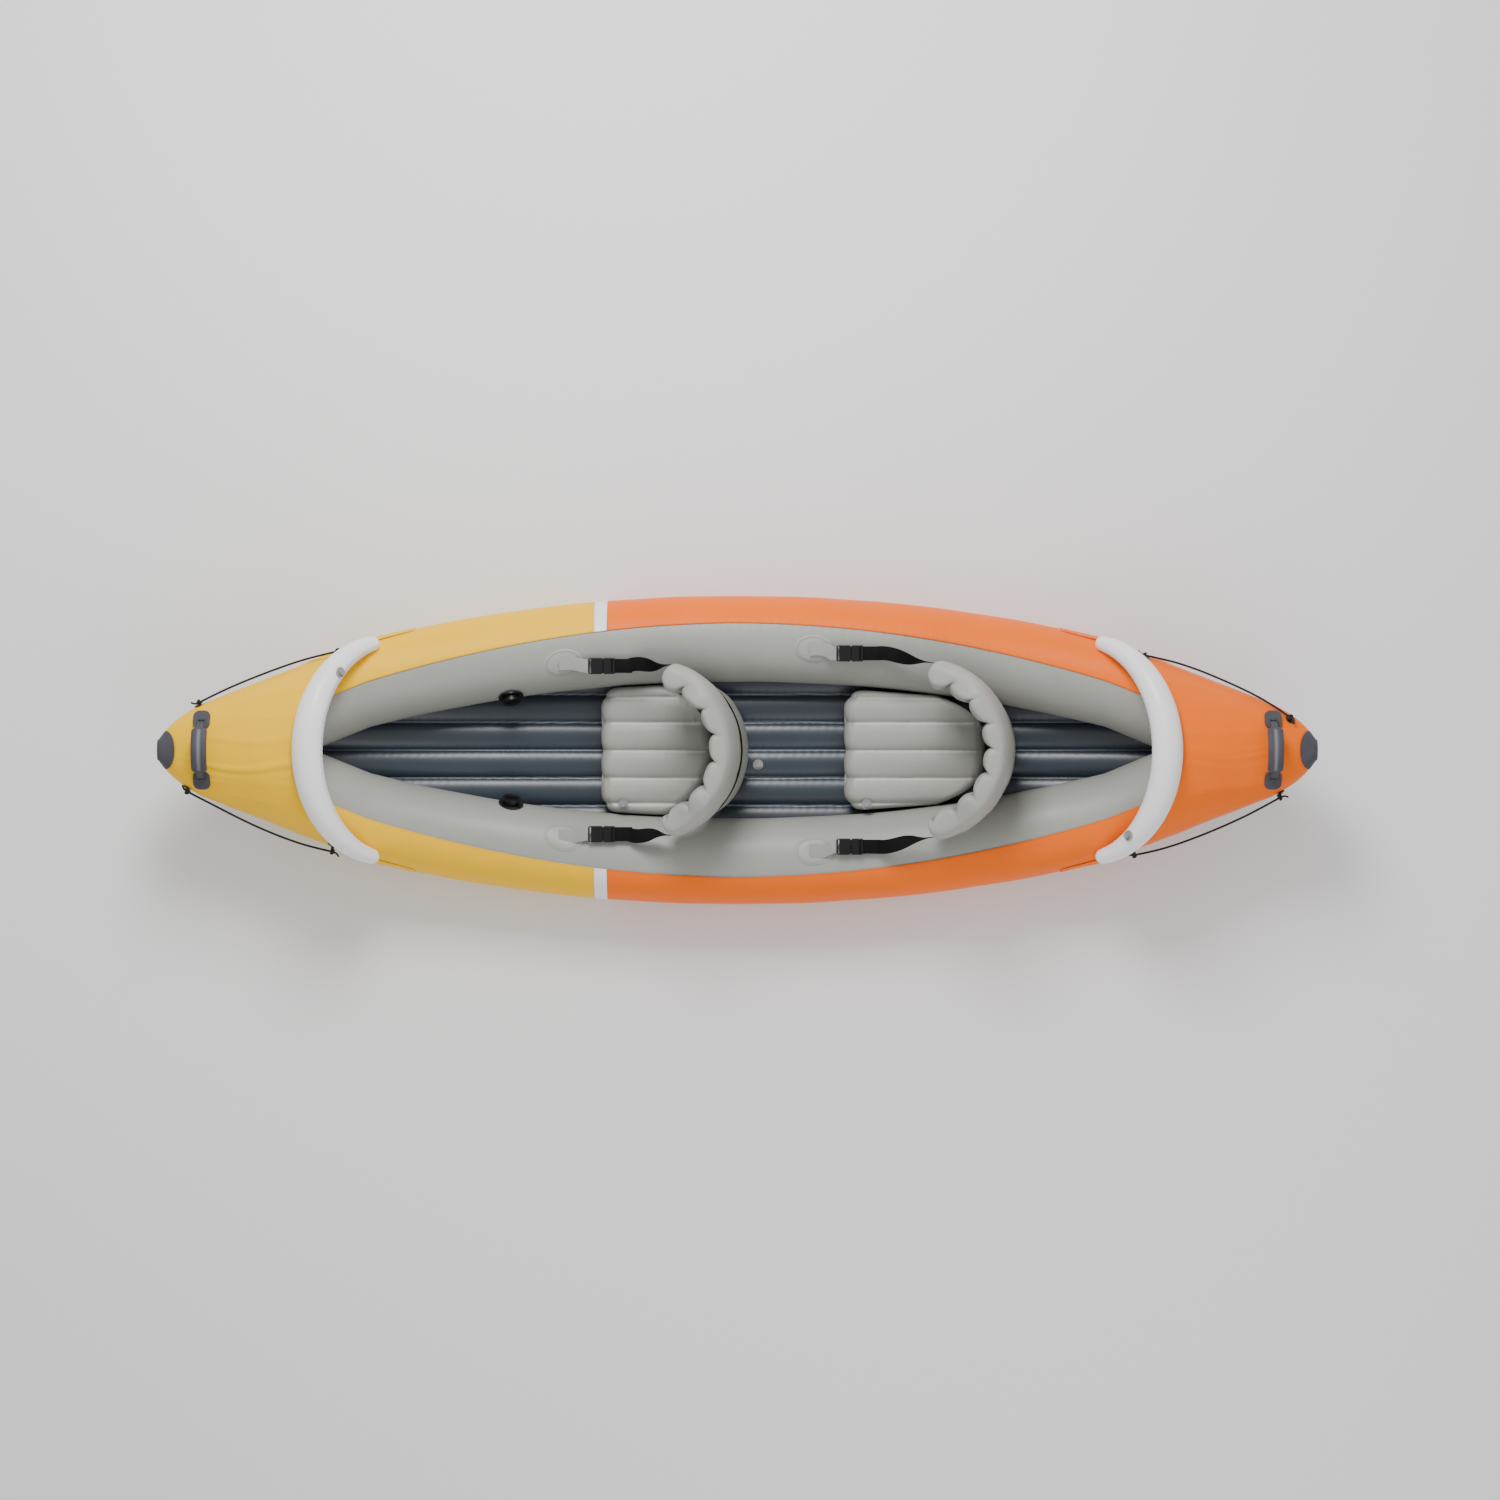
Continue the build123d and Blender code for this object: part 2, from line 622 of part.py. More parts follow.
ARCH_VALVES = {"bow": arch_valve_plane(-1, 0.79), "stern": arch_valve_plane(1, 0.17)}
FLOOR_VALVE = Plane((56, -40, FLOOR_TOP + 1), x_dir=(1, 0, 0), z_dir=(0, 0, 1))
SEAT_TOP = FLOOR_TOP + CUSHION_GAP + CUSHION_HEIGHT
REAR_SEAT_TOP = rocker(768) + FLOOR_TOP + 0.4 + CUSHION_HEIGHT
SEAT_VALVES = {
    "front": Plane((-312, -148, SEAT_TOP + 0.4), x_dir=(1, 0, 0), z_dir=(0, 0, 1)),
    "rear": Plane((352, -148, REAR_SEAT_TOP + 0.4), x_dir=(1, 0, 0), z_dir=(0, 0, 1)),
}
pinch_valves("arch_valve_bodies", ARCH_VALVES.values())
pinch_valves("floor_valve_body", [FLOOR_VALVE])
pinch_valves("seat_valve_bodies", SEAT_VALVES.values())
pinch_plug("floor_valve_plug", FLOOR_VALVE)
for name, plane in ARCH_VALVES.items():
    pinch_plug(f"{name}_arch_valve_plug", plane)
for name, plane in SEAT_VALVES.items():
    pinch_plug(f"{name}_seat_valve_plug", plane)


# --- Grab lines along the deck edges --------------------------------------------------
LINE_RADIUS = 3
GRAB_LINES = {
    "bow_starboard": [
        (-1452, 128, 319), (-1395, 158, 301), (-1330, 187, 287), (-1262, 214, 278),
        (-1195, 238, 276), (-1134, 255, 280), (-1080, 267, 290),
    ],
    "bow_port": [
        (-1483, -112, 328), (-1425, -143, 308), (-1362, -177, 292), (-1297, -209, 281),
        (-1230, -237, 275), (-1160, -261, 276), (-1095, -275, 287),
    ],
    "stern_starboard": [
        (1487, 88, 362), (1432, 128, 336), (1370, 162, 312), (1303, 193, 293),
        (1236, 221, 281), (1166, 243, 281), (1100, 256, 298),
    ],
    "stern_port": [
        (1464, -128, 320), (1400, -165, 300), (1335, -197, 285), (1268, -226, 276),
        (1200, -252, 272), (1132, -273, 278), (1072, -284, 294),
    ],
}


def corner_radii(points):
    """The largest radius that each corner's two runs allow, in steps along a route."""
    radii = []
    for before, here, after in zip(points, points[1:], points[2:]):
        run_in, run_out = Vector(here) - Vector(before), Vector(after) - Vector(here)
        half_turn = radians(run_in.get_angle(run_out)) / 2
        radii.append(0.45 * min(run_in.length, run_out.length) * cos(half_turn) / sin(half_turn))
    return radii


for name, route in GRAB_LINES.items():
    radii = corner_radii(route)
    print(name, "corner radii", [round(radius) for radius in radii])
    with BuildPart() as grab_line:
        with BuildLine() as path:
            FilletPolyline(*route, radius=radii)
        with BuildSketch(Plane(route[0], z_dir=Vector(route[1]) - Vector(route[0]))):
            Circle(LINE_RADIUS)
        sweep(path=path.wires()[0])
    length = path.wires()[0].length
    print(name, "length", round(length), "volume over section", round(grab_line.part.volume / (9 * 3.14159)))
    save(grab_line, f"{name}_grab_line")

KNOT_RADIUS = 8
with BuildPart() as grab_line_knots:
    for route in GRAB_LINES.values():
        with Locations(route[0], route[-1]):
            Sphere(KNOT_RADIUS)
save(grab_line_knots, "grab_line_knots")

EYELET_RADIUS, POST_RADIUS = 13, 4
with BuildPart() as grab_line_eyelets:
    for route in GRAB_LINES.values():
        for x, y, z in (route[0], route[-1]):
            across = half_beam(x) + DECK_CLEARANCE + DECK_SKIN
            rise = ridge(x) - chamber_z(x)
            drop = min(0.999, max(0, (z - 14 - chamber_z(x)) / rise))
            foot_y = across * sqrt(1 - drop**2) * (1 if y > 0 else -1)
            foot = deck_plane(x, foot_y * 0.995, 2)
            with BuildSketch(foot):
                Circle(EYELET_RADIUS)
            extrude(amount=2.5)
            reach = Vector(x, y, z) - foot.origin
            with BuildSketch(Plane(foot.origin + reach.normalized(), z_dir=reach)):
                Circle(POST_RADIUS)
            extrude(amount=reach.length - 5)
save(grab_line_eyelets, "grab_line_eyelets")
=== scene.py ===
"""Looks of the two-seat inflatable kayak: skins, seams, padding, webbing and studio."""

import random
from math import atan2, cos, degrees, exp, pi, radians, sin, sqrt

import bpy
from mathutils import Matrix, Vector


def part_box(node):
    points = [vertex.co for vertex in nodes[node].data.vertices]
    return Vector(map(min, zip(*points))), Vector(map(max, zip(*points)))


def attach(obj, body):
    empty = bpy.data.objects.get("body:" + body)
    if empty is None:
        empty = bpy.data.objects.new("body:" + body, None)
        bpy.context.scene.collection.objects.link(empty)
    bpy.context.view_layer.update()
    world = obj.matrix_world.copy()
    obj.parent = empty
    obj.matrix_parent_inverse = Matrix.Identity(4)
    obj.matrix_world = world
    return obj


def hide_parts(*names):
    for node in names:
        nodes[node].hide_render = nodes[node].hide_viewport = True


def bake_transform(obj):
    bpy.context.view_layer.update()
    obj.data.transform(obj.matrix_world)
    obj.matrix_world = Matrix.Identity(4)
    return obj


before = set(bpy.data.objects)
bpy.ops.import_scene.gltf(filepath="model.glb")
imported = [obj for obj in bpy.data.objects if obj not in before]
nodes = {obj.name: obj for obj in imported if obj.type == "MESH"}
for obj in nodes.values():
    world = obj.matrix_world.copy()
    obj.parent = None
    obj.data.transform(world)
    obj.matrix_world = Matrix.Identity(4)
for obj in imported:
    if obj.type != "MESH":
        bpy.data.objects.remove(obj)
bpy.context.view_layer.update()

# --- Hull form, in metres: the same curves as the frame's own ---------------------------
HALF_BEAM = 0.420
WAIST_TAPER = 0.117
DECK_STATION, SHOULDER_STATION, TIP_STATION = 1.000, 1.443, 1.560
SHOULDER_HALF_BEAM = 0.123
CHAMBER_RADIUS, CHAMBER_SWELL = 0.117, 0.003
CHAMBER_END = 1.540
ROCKER_START, ROCKER_RISE = 0.550, 0.300
BOTTOM = 0.0015
RIDGE_STATION, RIDGE_HEIGHT, RIDGE_FALL = 1.150, 0.430, 58 / 350
HUG_STATION, FULL_RIDGE_STATION = 0.960, 1.090
FLOOR_TOP = 0.072
CHANNEL = 0.076  # pitch of the blown-up channels of the floor and the seats
STRAP_WIDTH = 0.038
SIDES = {"port": -1, "starboard": 1}
ENDS = {"bow": -1, "stern": 1}


def smooth(t):
    t = min(1, max(0, t))
    return t * t * (3 - 2 * t)


def half_beam(x):
    x = abs(x)
    if x <= DECK_STATION:
        return HALF_BEAM - WAIST_TAPER * x**2.1
    if x <= SHOULDER_STATION:
        run = (x - DECK_STATION) / (SHOULDER_STATION - DECK_STATION)
        deck_beam = HALF_BEAM - WAIST_TAPER
        return deck_beam + run * (SHOULDER_HALF_BEAM - deck_beam)
    left = max(0, (TIP_STATION - x) / (TIP_STATION - SHOULDER_STATION))
    return SHOULDER_HALF_BEAM * sqrt(left)


def chamber_radius(x):
    return min(CHAMBER_RADIUS + CHAMBER_SWELL * x * x, half_beam(x) / 2 - 0.0003)


def chamber_y(x):
    return half_beam(x) - chamber_radius(x)


def rocker(x):
    run = max(0, abs(x) - ROCKER_START) / (TIP_STATION - ROCKER_START)
    return ROCKER_RISE * run**2.2


def chamber_z(x):
    return rocker(x) + BOTTOM + chamber_radius(x)


def ridge(x):
    straight = RIDGE_HEIGHT - RIDGE_FALL * (abs(x) - RIDGE_STATION)
    hugging = chamber_z(x) + sqrt((half_beam(x) + 0.004) * (chamber_radius(x) + 0.003)) + 0.003
    rise = smooth((abs(x) - HUG_STATION) / (FULL_RIDGE_STATION - HUG_STATION))
    return max(hugging, hugging + rise * (straight - hugging))


def deck_z(x, y, lift=0.004):
    across = half_beam(x) + lift
    return chamber_z(x) + (ridge(x) - chamber_z(x)) * sqrt(max(0, 1 - (y / across) ** 2))


def boundary_angle(x):
    return 21 - 20 * min(abs(x), DECK_STATION) ** 1.5


def chamber_point(x, side, angle, lift=0.0):
    """A point on a side chamber; the angle runs outboard from its crown, in degrees."""
    reach = chamber_radius(x) + lift
    across = chamber_y(x) + reach * sin(radians(angle))
    return Vector((x, side * across, chamber_z(x) + reach * cos(radians(angle))))


def span(start, end, count):
    return [start + (end - start) * i / (count - 1) for i in range(count)]


def arc(half_width, rise):
    """Radius and half angle of the arc that rises this far over this half width."""
    radius = (half_width**2 + rise**2) / (2 * rise)
    return radius, atan2(half_width, radius - rise)


def squarish(value, power):
    """A sine or cosine with its sign kept, raised to a power that squares the circle."""
    return abs(value) ** power * (1 if value > 0 else -1)


def flatten(table):
    return [entry for row in table for entry in row]


def ripple(x, seed, pitch):
    """An uneven wave, for puckers that look pulled rather than machined."""
    return 0.6 * sin(2 * pi * x / pitch + seed) + 0.4 * sin(2 * pi * x / (pitch * 0.61) + 2.3 * seed)


# --- Materials ---------------------------------------------------------------------------
class Value:
    """A shader socket that can be used in sums."""

    def __init__(self, paint, socket):
        self.paint = paint
        self.socket = socket

    def math(self, operation, *others):
        return self.paint.node("Math", {"operation": operation}, *others)["Value"]

    def __add__(self, other):
        return self.math("ADD", self, other)

    def __mul__(self, other):
        return self.math("MULTIPLY", self, other)

    __radd__ = __add__
    __rmul__ = __mul__


class Paint:
    """A material under way: its nodes, and the shader that they end in."""

    def __init__(self, name, **shader):
        self.material = bpy.data.materials.new(name)
        self.material.use_nodes = True
        self.tree = self.material.node_tree
        self.shader = self.tree.nodes["Principled BSDF"]
        for key, value in shader.items():
            self.shader.inputs[key.replace("_", " ")].default_value = value

    def node(self, kind, settings, *inputs, **named):
        made = self.tree.nodes.new("ShaderNode" + kind)
        for key, value in settings.items():
            setattr(made, key, value)
        for key, value in [*enumerate(inputs), *named.items()]:
            socket = made.inputs[key.replace("_", " ") if isinstance(key, str) else key]
            if isinstance(value, Value):
                self.tree.links.new(value.socket, socket)
            else:
                socket.default_value = value
        return {out.name: Value(self, out) for out in made.outputs}

    def blend(self, factor, a, b):
        mix = self.tree.nodes.new("ShaderNodeMix")
        mix.data_type = "RGBA"
        for socket, value in ((mix.inputs[0], factor), (mix.inputs[6], a), (mix.inputs[7], b)):
            if isinstance(value, Value):
                self.tree.links.new(value.socket, socket)
            else:
                socket.default_value = value
        return Value(self, mix.outputs[2])

    def feed(self, name, value):
        self.tree.links.new(value.socket, self.shader.inputs[name])

    def place(self):
        return self.node("TexCoord", {})["Object"]

    def noise(self, scale, detail=3, vector=None):
        return self.node("TexNoise", {}, Vector=vector or self.place(), Scale=scale, Detail=detail)["Fac"]

    def mark(self, name):
        return self.node("Attribute", {"attribute_name": name})["Fac"]

    def bump(self, height, strength, distance):
        bumped = self.node("Bump", {}, Strength=strength, Distance=distance, Height=height)
        self.feed("Normal", bumped["Normal"])


def shade(color, factor):
    return (color[0] * factor, color[1] * factor, color[2] * factor, 1)


def pvc(name, color, roughness=0.42, seam_and_shade_tint=0.72, painted_highlight_color=None, coat=0.04, grain=0.3, shine=0.3):
    """Blown-up or stretched vinyl skin, with a fine leather grain and slow unevenness."""
    paint = Paint(name, Coat_Weight=coat, Coat_Roughness=0.3, Specular_IOR_Level=shine)
    cloud = paint.noise(5.0, 4)
    fine = paint.noise(90.0, 3)
    base = paint.blend(cloud, shade(color, 0.92), shade(color, 1.07))
    base = paint.blend(fine * 0.25, base, shade(color, 0.82))
    # Where a piece is marked, the colour blends to a line colour: real weld lines on some pieces, painted
    # shade in creases and folds, and painted highlight along the welds of the floor and the cushions.
    seam_and_painted_light = painted_highlight_color or shade(color, seam_and_shade_tint)
    base = paint.blend(paint.mark("seam_and_painted_light"), base, seam_and_painted_light)
    paint.feed("Base Color", base)
    paint.feed("Roughness", roughness - 0.08 + cloud * 0.12 + fine * 0.05)
    pebble = paint.node("TexVoronoi", {"feature": "DISTANCE_TO_EDGE"}, Vector=paint.place(), Scale=900.0)
    slack = paint.noise(22.0, 2)
    paint.bump(pebble["Distance"] * grain * 0.5 + slack * 1.6 + fine * 0.15, 0.35, 0.0012)
    return paint.material


def webbing(name, color):
    """Flat woven strap: ribs across it and lines along it, in its own map."""
    paint = Paint(name, Specular_IOR_Level=0.15)
    flat = paint.node("TexCoord", {})["UV"]
    ribs = paint.node("TexWave", {"bands_direction": "X"}, Vector=flat, Scale=180.0, Distortion=0.4)
    rows = paint.node("TexWave", {"bands_direction": "Y"}, Vector=flat, Scale=120.0, Distortion=0.6)
    cross = ribs["Fac"] * 0.6 + rows["Fac"] * 0.4
    paint.feed("Base Color", paint.blend(cross, shade(color, 0.6), shade(color, 1.5)))
    paint.feed("Roughness", 0.62 + cross * 0.2)
    paint.bump(cross, 0.6, 0.0006)
    return paint.material


def rope_finish(name, color):
    paint = Paint(name, Sheen_Weight=0.2, Specular_IOR_Level=0.35)
    flat = paint.node("TexCoord", {})["UV"]
    turned = paint.node("Mapping", {}, Vector=flat, Rotation=(0, 0, radians(38)), Scale=(60, 4, 1))["Vector"]
    braid = paint.node("TexWave", {}, Vector=turned, Scale=2.0, Distortion=0.5)["Fac"]
    paint.feed("Base Color", paint.blend(braid, shade(color, 0.6), shade(color, 2.2)))
    paint.feed("Roughness", 0.55 + braid * 0.25)
    paint.bump(braid, 0.5, 0.0006)
    return paint.material


def moulded(name, color, roughness, grain, coat=0.0, inlay=None):
    """Moulded nylon, rubber or vinyl, uneven in tone, with a paler inlay where it is marked."""
    paint = Paint(name, Coat_Weight=coat, Coat_Roughness=0.25, Specular_IOR_Level=0.25)
    cloud = paint.noise(30.0, 4)
    base = paint.blend(cloud, shade(color, 0.8), shade(color, 1.3))
    if inlay:
        base = paint.blend(paint.mark("seam_and_painted_light"), base, inlay)
    paint.feed("Base Color", base)
    paint.feed("Roughness", roughness - 0.06 + cloud * 0.12)
    paint.bump(paint.noise(900.0, 2) * grain + cloud * 0.3, 0.25, 0.0008)
    return paint.material


YELLOW = (1.0, 0.560, 0.0)
ORANGE = (1.0, 0.165, 0.0)
GREY = (0.330, 0.332, 0.300)
SEAT_GREY = (0.350, 0.352, 0.318)
WHITE = (0.90, 0.90, 0.92)
NAVY = (0.020, 0.031, 0.046)
DARK = (0.060, 0.060, 0.072)
BLACK = (0.003, 0.003, 0.003)

# The grey chamber skin is darker where marked: painted shade in the crease beside the floor.
grey_skin = pvc("grey chamber skin", GREY)
patch_skin = pvc("grey strap patch skin", (0.36, 0.362, 0.335), seam_and_shade_tint=0.55)
yellow_skin = pvc("yellow skin", YELLOW, seam_and_shade_tint=0.78, coat=0.0, shine=0.12)
orange_skin = pvc("orange skin", ORANGE, seam_and_shade_tint=0.78, coat=0.0, shine=0.12)
# Where marked, the white skin is darker: along the arch's weld this is partly the weld, partly painted
# shadow.
white_skin = pvc("white arch skin", WHITE, roughness=0.34, seam_and_shade_tint=0.80, coat=0.2)
# The floor's paler line colour is painted highlight along its welds.
navy_floor = pvc(
    "navy floor skin", NAVY, roughness=0.36, painted_highlight_color=(0.13, 0.17, 0.21, 1), coat=0.2, shine=0.5
)
# The seat skin is darker where marked: painted shade in the backrest's folds.
seat_skin = pvc("grey seat skin", SEAT_GREY, roughness=0.46, seam_and_shade_tint=0.60, coat=0.05, grain=0.5)
# The cushion's pale line colour is painted highlight beside its welds.
cushion_skin = pvc(
    "grey cushion skin", SEAT_GREY, roughness=0.44, painted_highlight_color=(0.60, 0.60, 0.56, 1), coat=0.05, grain=0.5
)
dark_rubber = moulded("dark grey rubber", DARK, 0.62, 0.5)
grip_rubber = moulded("handle grip rubber", DARK, 0.62, 0.5, inlay=(0.20, 0.20, 0.21, 1))
black_nylon = moulded("black nylon", BLACK, 0.42, 0.5, coat=0.1)
grey_vinyl = moulded("grey vinyl", (0.26, 0.26, 0.255), 0.45, 0.3, coat=0.1)
black_webbing = webbing("black webbing", BLACK)
grey_webbing = webbing("grey webbing", (0.30, 0.30, 0.29))
black_rope = rope_finish("black braided cord", BLACK)


# --- Mesh helpers ---------------------------------------------------------------------------
def finish_mesh(name, points, faces, material, body, seam_and_light_marks=None, maps=None, slot=None, stands_for=()):
    """A piece from its points and faces, smooth, with its marks for welds and painted light, and its flat
    map.
    """
    name = name.replace(" ", "_")
    mesh = bpy.data.meshes.new(name)
    mesh.from_pydata([tuple(p) for p in points], [], faces)
    mesh.validate()
    if seam_and_light_marks:
        mark = mesh.attributes.new("seam_and_painted_light", "FLOAT", "POINT")
        for i, value in enumerate(seam_and_light_marks):
            mark.data[i].value = value
    if maps:
        flat = mesh.uv_layers.new(name="flat")
        for loop in mesh.loops:
            flat.data[loop.index].uv = maps[loop.vertex_index]
    for polygon in mesh.polygons:
        polygon.use_smooth = True
    mesh.materials.append(material)
    piece = bpy.data.objects.new(name, mesh)
    bpy.context.scene.collection.objects.link(piece)
    if body:
        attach(piece, body)
    if stands_for:
        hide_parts(*stands_for)
    return piece


def loft(name, rings, material, body, seam_and_light_marks=None, maps=None, caps=True, **kw):
    """Closed rings of points joined into a skin, with a fan over each end."""
    count = len(rings[0])
    points = flatten(rings)
    faces = []
    for i in range(len(rings) - 1):
        for j in range(count):
            k = (j + 1) % count
            faces.append((i * count + j, i * count + k, (i + 1) * count + k, (i + 1) * count + j))
    marks = flatten(seam_and_light_marks) if seam_and_light_marks else None
    flats = flatten(maps) if maps else None
    if caps:
        for ring, flip in ((0, True), (len(rings) - 1, False)):
            hub = len(points)
            points.append(sum((Vector(p) for p in rings[ring]), Vector()) / count)
            if marks is not None:
                marks.append(0)
            if flats is not None:
                flats.append((0, 0))
            for j in range(count):
                a, b = ring * count + j, ring * count + (j + 1) % count
                faces.append((b, a, hub) if flip else (a, b, hub))
    piece = finish_mesh(name, points, faces, material, body, marks, flats, **kw)
    face_outwards(piece)
    return piece


def sheet_grid(name, rows, material, body, thickness, seam_and_light_marks=None, outward=None, **kw):
    """An open sheet from rows of points, given a thickness on its outer side."""
    count = len(rows[0])
    points = flatten(rows)
    faces = []
    for i in range(len(rows) - 1):
        for j in range(count - 1):
            a = i * count + j
            faces.append((a, a + 1, a + 1 + count, a + count))
    marks = flatten(seam_and_light_marks) if seam_and_light_marks else None
    piece = finish_mesh(name, points, faces, material, body, marks, **kw)
    middle = piece.data.polygons[len(piece.data.polygons) // 2]
    if outward and middle.normal.dot(Vector(outward)) < 0:
        piece.data.flip_normals()
    solid = piece.modifiers.new("thickness", "SOLIDIFY")
    solid.thickness = thickness
    solid.offset = 1
    apply_modifiers(piece)
    return piece


def select_only(piece):
    bpy.ops.object.select_all(action="DESELECT")
    bpy.context.view_layer.objects.active = piece
    piece.select_set(True)


def apply_modifiers(piece):
    select_only(piece)
    for modifier in list(piece.modifiers):
        bpy.ops.object.modifier_apply(modifier=modifier.name)
    piece.select_set(False)


def face_outwards(piece):
    """Join what meets, and turn every face's front side out."""
    select_only(piece)
    bpy.ops.object.mode_set(mode="EDIT")
    bpy.ops.mesh.select_all(action="SELECT")
    bpy.ops.mesh.remove_doubles(threshold=0.00002)
    bpy.ops.mesh.normals_make_consistent(inside=False)
    bpy.ops.object.mode_set(mode="OBJECT")
    piece.select_set(False)


def give(node, material):
    """Put one of the materials above on a CAD solid."""
    nodes[node].data.materials.clear()
    nodes[node].data.materials.append(material)


def smooth_line(points, per_run=12):
    """Points along a curve through a few given ones."""
    line = []
    ends = [points[0]] + list(points) + [points[-1]]
    for a, b, c, d in zip(ends, ends[1:], ends[2:], ends[3:]):
        a, b, c, d = (Vector(p) for p in (a, b, c, d))
        for i in range(per_run):
            t = i / per_run
            line.append(
                0.5 * (2 * b + (c - a) * t + (2 * a - 5 * b + 4 * c - d) * t**2
                       + (3 * b - a - 3 * c + d) * t**3)
            )
    line.append(Vector(points[-1]))
    return line


def ribbon(name, route, material, body, width=STRAP_WIDTH, thick=0.0016, **kw):
    """A flat strap along a route of (point, direction across the strap)."""
    line = smooth_line([Vector(p) for p, _ in route])
    across = smooth_line([Vector(a) for _, a in route])
    rings, maps = [], []
    length = 0
    corners = [(-1, -0.5), (-0.94, -1), (0.94, -1), (1, -0.5), (1, 0.5), (0.94, 1), (-0.94, 1), (-1, 0.5)]
    for i, (point, wide) in enumerate(zip(line, across)):
        ahead = line[min(i + 1, len(line) - 1)] - line[max(i - 1, 0)]
        ahead.normalize()
        wide = (wide - ahead * wide.dot(ahead)).normalized()
        up = ahead.cross(wide)
        length += (point - line[i - 1]).length if i else 0
        rings.append([point + wide * (u * width / 2) + up * (v * thick / 2) for u, v in corners])
        maps.append([(length, u * width / 2) for u, v in corners])
    strap = loft(name, rings, material, body, maps=maps, **kw)
    return strap, length


# --- Side chambers and their skins -------------------------------------------------------
KEEL_WELD = -118  # degrees from the crown to the weld beside the floor
SKIN_END = 1.535
BAND_START, BAND_END = -0.390, -0.355
SKIN_UNDER_BAND = 0.002


def chamber_stations():
    """Even along the middle, and closer together towards the rounded tips."""
    middle = span(-1.45, 1.45, 380)
    tip = span(1.456, CHAMBER_END, 16)
    return [-x for x in reversed(tip)] + middle + tip


def pucker(x, angle, seam_angle, reach, height, seed):
    """Little cross folds that die away from a weld."""
    fade = exp(-abs(angle - seam_angle) / reach)
    return height * fade * ripple(x, seed, 0.028)


def slow_wave(x, angle):
    return 0.0006 * ripple(x + 0.002 * angle, 0.8, 0.31)


def make_chamber(side_name, side):
    rings, seam_and_light_marks = [], []
    for x in chamber_stations():
        ring, marks = [], []
        for k in range(72):
            angle = -180 + 5 * k
            weld = boundary_angle(x)
            lift = pucker(x, angle, weld, 14, 0.0009, 1.7 * side)
            lift += pucker(x, angle, KEEL_WELD, 10, 0.0010, 4.1 * side)
            lift += slow_wave(x, angle)
            ring.append(chamber_point(x, side, angle, lift - 0.0006))
            # A darker line along the weld beside the floor: painted shade in the crease where the chamber
            # meets the floor.
            marks.append(0.55 * exp(-((angle - KEEL_WELD) / 3) ** 2))
        rings.append(ring)
        seam_and_light_marks.append(marks)
    loft(f"{side_name} chamber", rings, grey_skin, "hull", seam_and_light_marks, slot="grey_pvc",
         stands_for=(f"{side_name}_side_chamber",))


def make_panel(side_name, side, label, start, end, material, slot, node, lift=0.0):
    """A skin over a chamber's outboard side, from its weld down to the bottom skin."""
    rows, seam_and_light_marks = [], []
    count = max(8, int(abs(end - start) / 0.008))
    for x in span(start, end, count):
        top = boundary_angle(x)
        row, marks = [], []
        for angle in [top + d for d in (0, 1.2, 3, 6)] + span(top + 10, 150, 26):
            rise = pucker(x, angle, top, 12, 0.0008, 1.7 * side) + slow_wave(x, angle)
            row.append(chamber_point(x, side, angle, 0.0006 + lift + rise))
            marks.append(0.8 if angle < top + 2 else 0.0)
        rows.append(row)
        seam_and_light_marks.append(marks)
    sheet_grid(f"{side_name} {label}", rows, material, "hull", 0.0010, seam_and_light_marks, outward=(0, side, 0),
               slot=slot, stands_for=(node,))


for side_name, side in SIDES.items():
    make_chamber(side_name, side)
    make_panel(side_name, side, "yellow side", -SKIN_END, BAND_START + SKIN_UNDER_BAND,
               yellow_skin, "yellow_pvc", f"{side_name}_bow_side_panel")
    make_panel(side_name, side, "orange side", BAND_END - SKIN_UNDER_BAND, SKIN_END,
               orange_skin, "orange_pvc", f"{side_name}_stern_side_panel")
    make_panel(side_name, side, "white band", BAND_START, BAND_END,
               white_skin, "white_pvc", f"{side_name}_white_band", lift=0.0008)


# --- Floor with its channels ---------------------------------------------------------------
FLOOR_END = 1.129
WELD_DEPTH = 0.019
FLANK_TOP, FLANK_FOOT = 0.030, 0.0016  # heights above the rocker


def channel_height(y):
    """0 at a channel's crown to 1 at the weld between two channels, one of them at y = 0."""
    return abs(2 * (y / CHANNEL % 1) - 1)


def floor_width(x, height):
    below = chamber_z(x) - rocker(x) - height
    return chamber_y(x) - sqrt(max(0, chamber_radius(x) ** 2 - below**2)) - 0.001


def make_floor():
    rings, seam_and_light_marks = [], []
    for x in span(-FLOOR_END, FLOOR_END, 330):
        half, low_half = floor_width(x, FLOOR_TOP - 0.006), floor_width(x, FLANK_TOP)
        ring, marks = [], []
        for y in span(-half, half, 97):
            weld = channel_height(y)
            drop = WELD_DEPTH * (1 - sqrt(max(0, 1 - (0.985 * weld) ** 2)))
            fold = 0.0011 * weld**3 * ripple(x, round(y / CHANNEL) * 1.9, 0.024)
            ring.append((x, y, rocker(x) + FLOOR_TOP - drop + fold))
            # Paler lines along the welds between channels: painted highlight.
            marks.append(max(0, (weld - 0.93) / 0.07) ** 1.5)
        for side, height in ((1, FLANK_TOP), (1, FLANK_FOOT), (-1, FLANK_FOOT), (-1, FLANK_TOP)):
            ring.append((x, side * low_half, rocker(x) + height))
            marks.append(0)
        rings.append(ring)
        seam_and_light_marks.append(marks)
    loft("floor", rings, navy_floor, "hull", seam_and_light_marks, slot="navy_pvc", stands_for=("floor_chamber",))


make_floor()
give("bottom_skin", navy_floor)


# --- Decks, arches and nose patches -----------------------------------------------------------
RIM_FOOT = Vector((1.003, 0.292))
RIM_CROWN = 1.186
FLAP_TIP = Vector((0.880, 0.325))
DECK_TIP = 1.5525


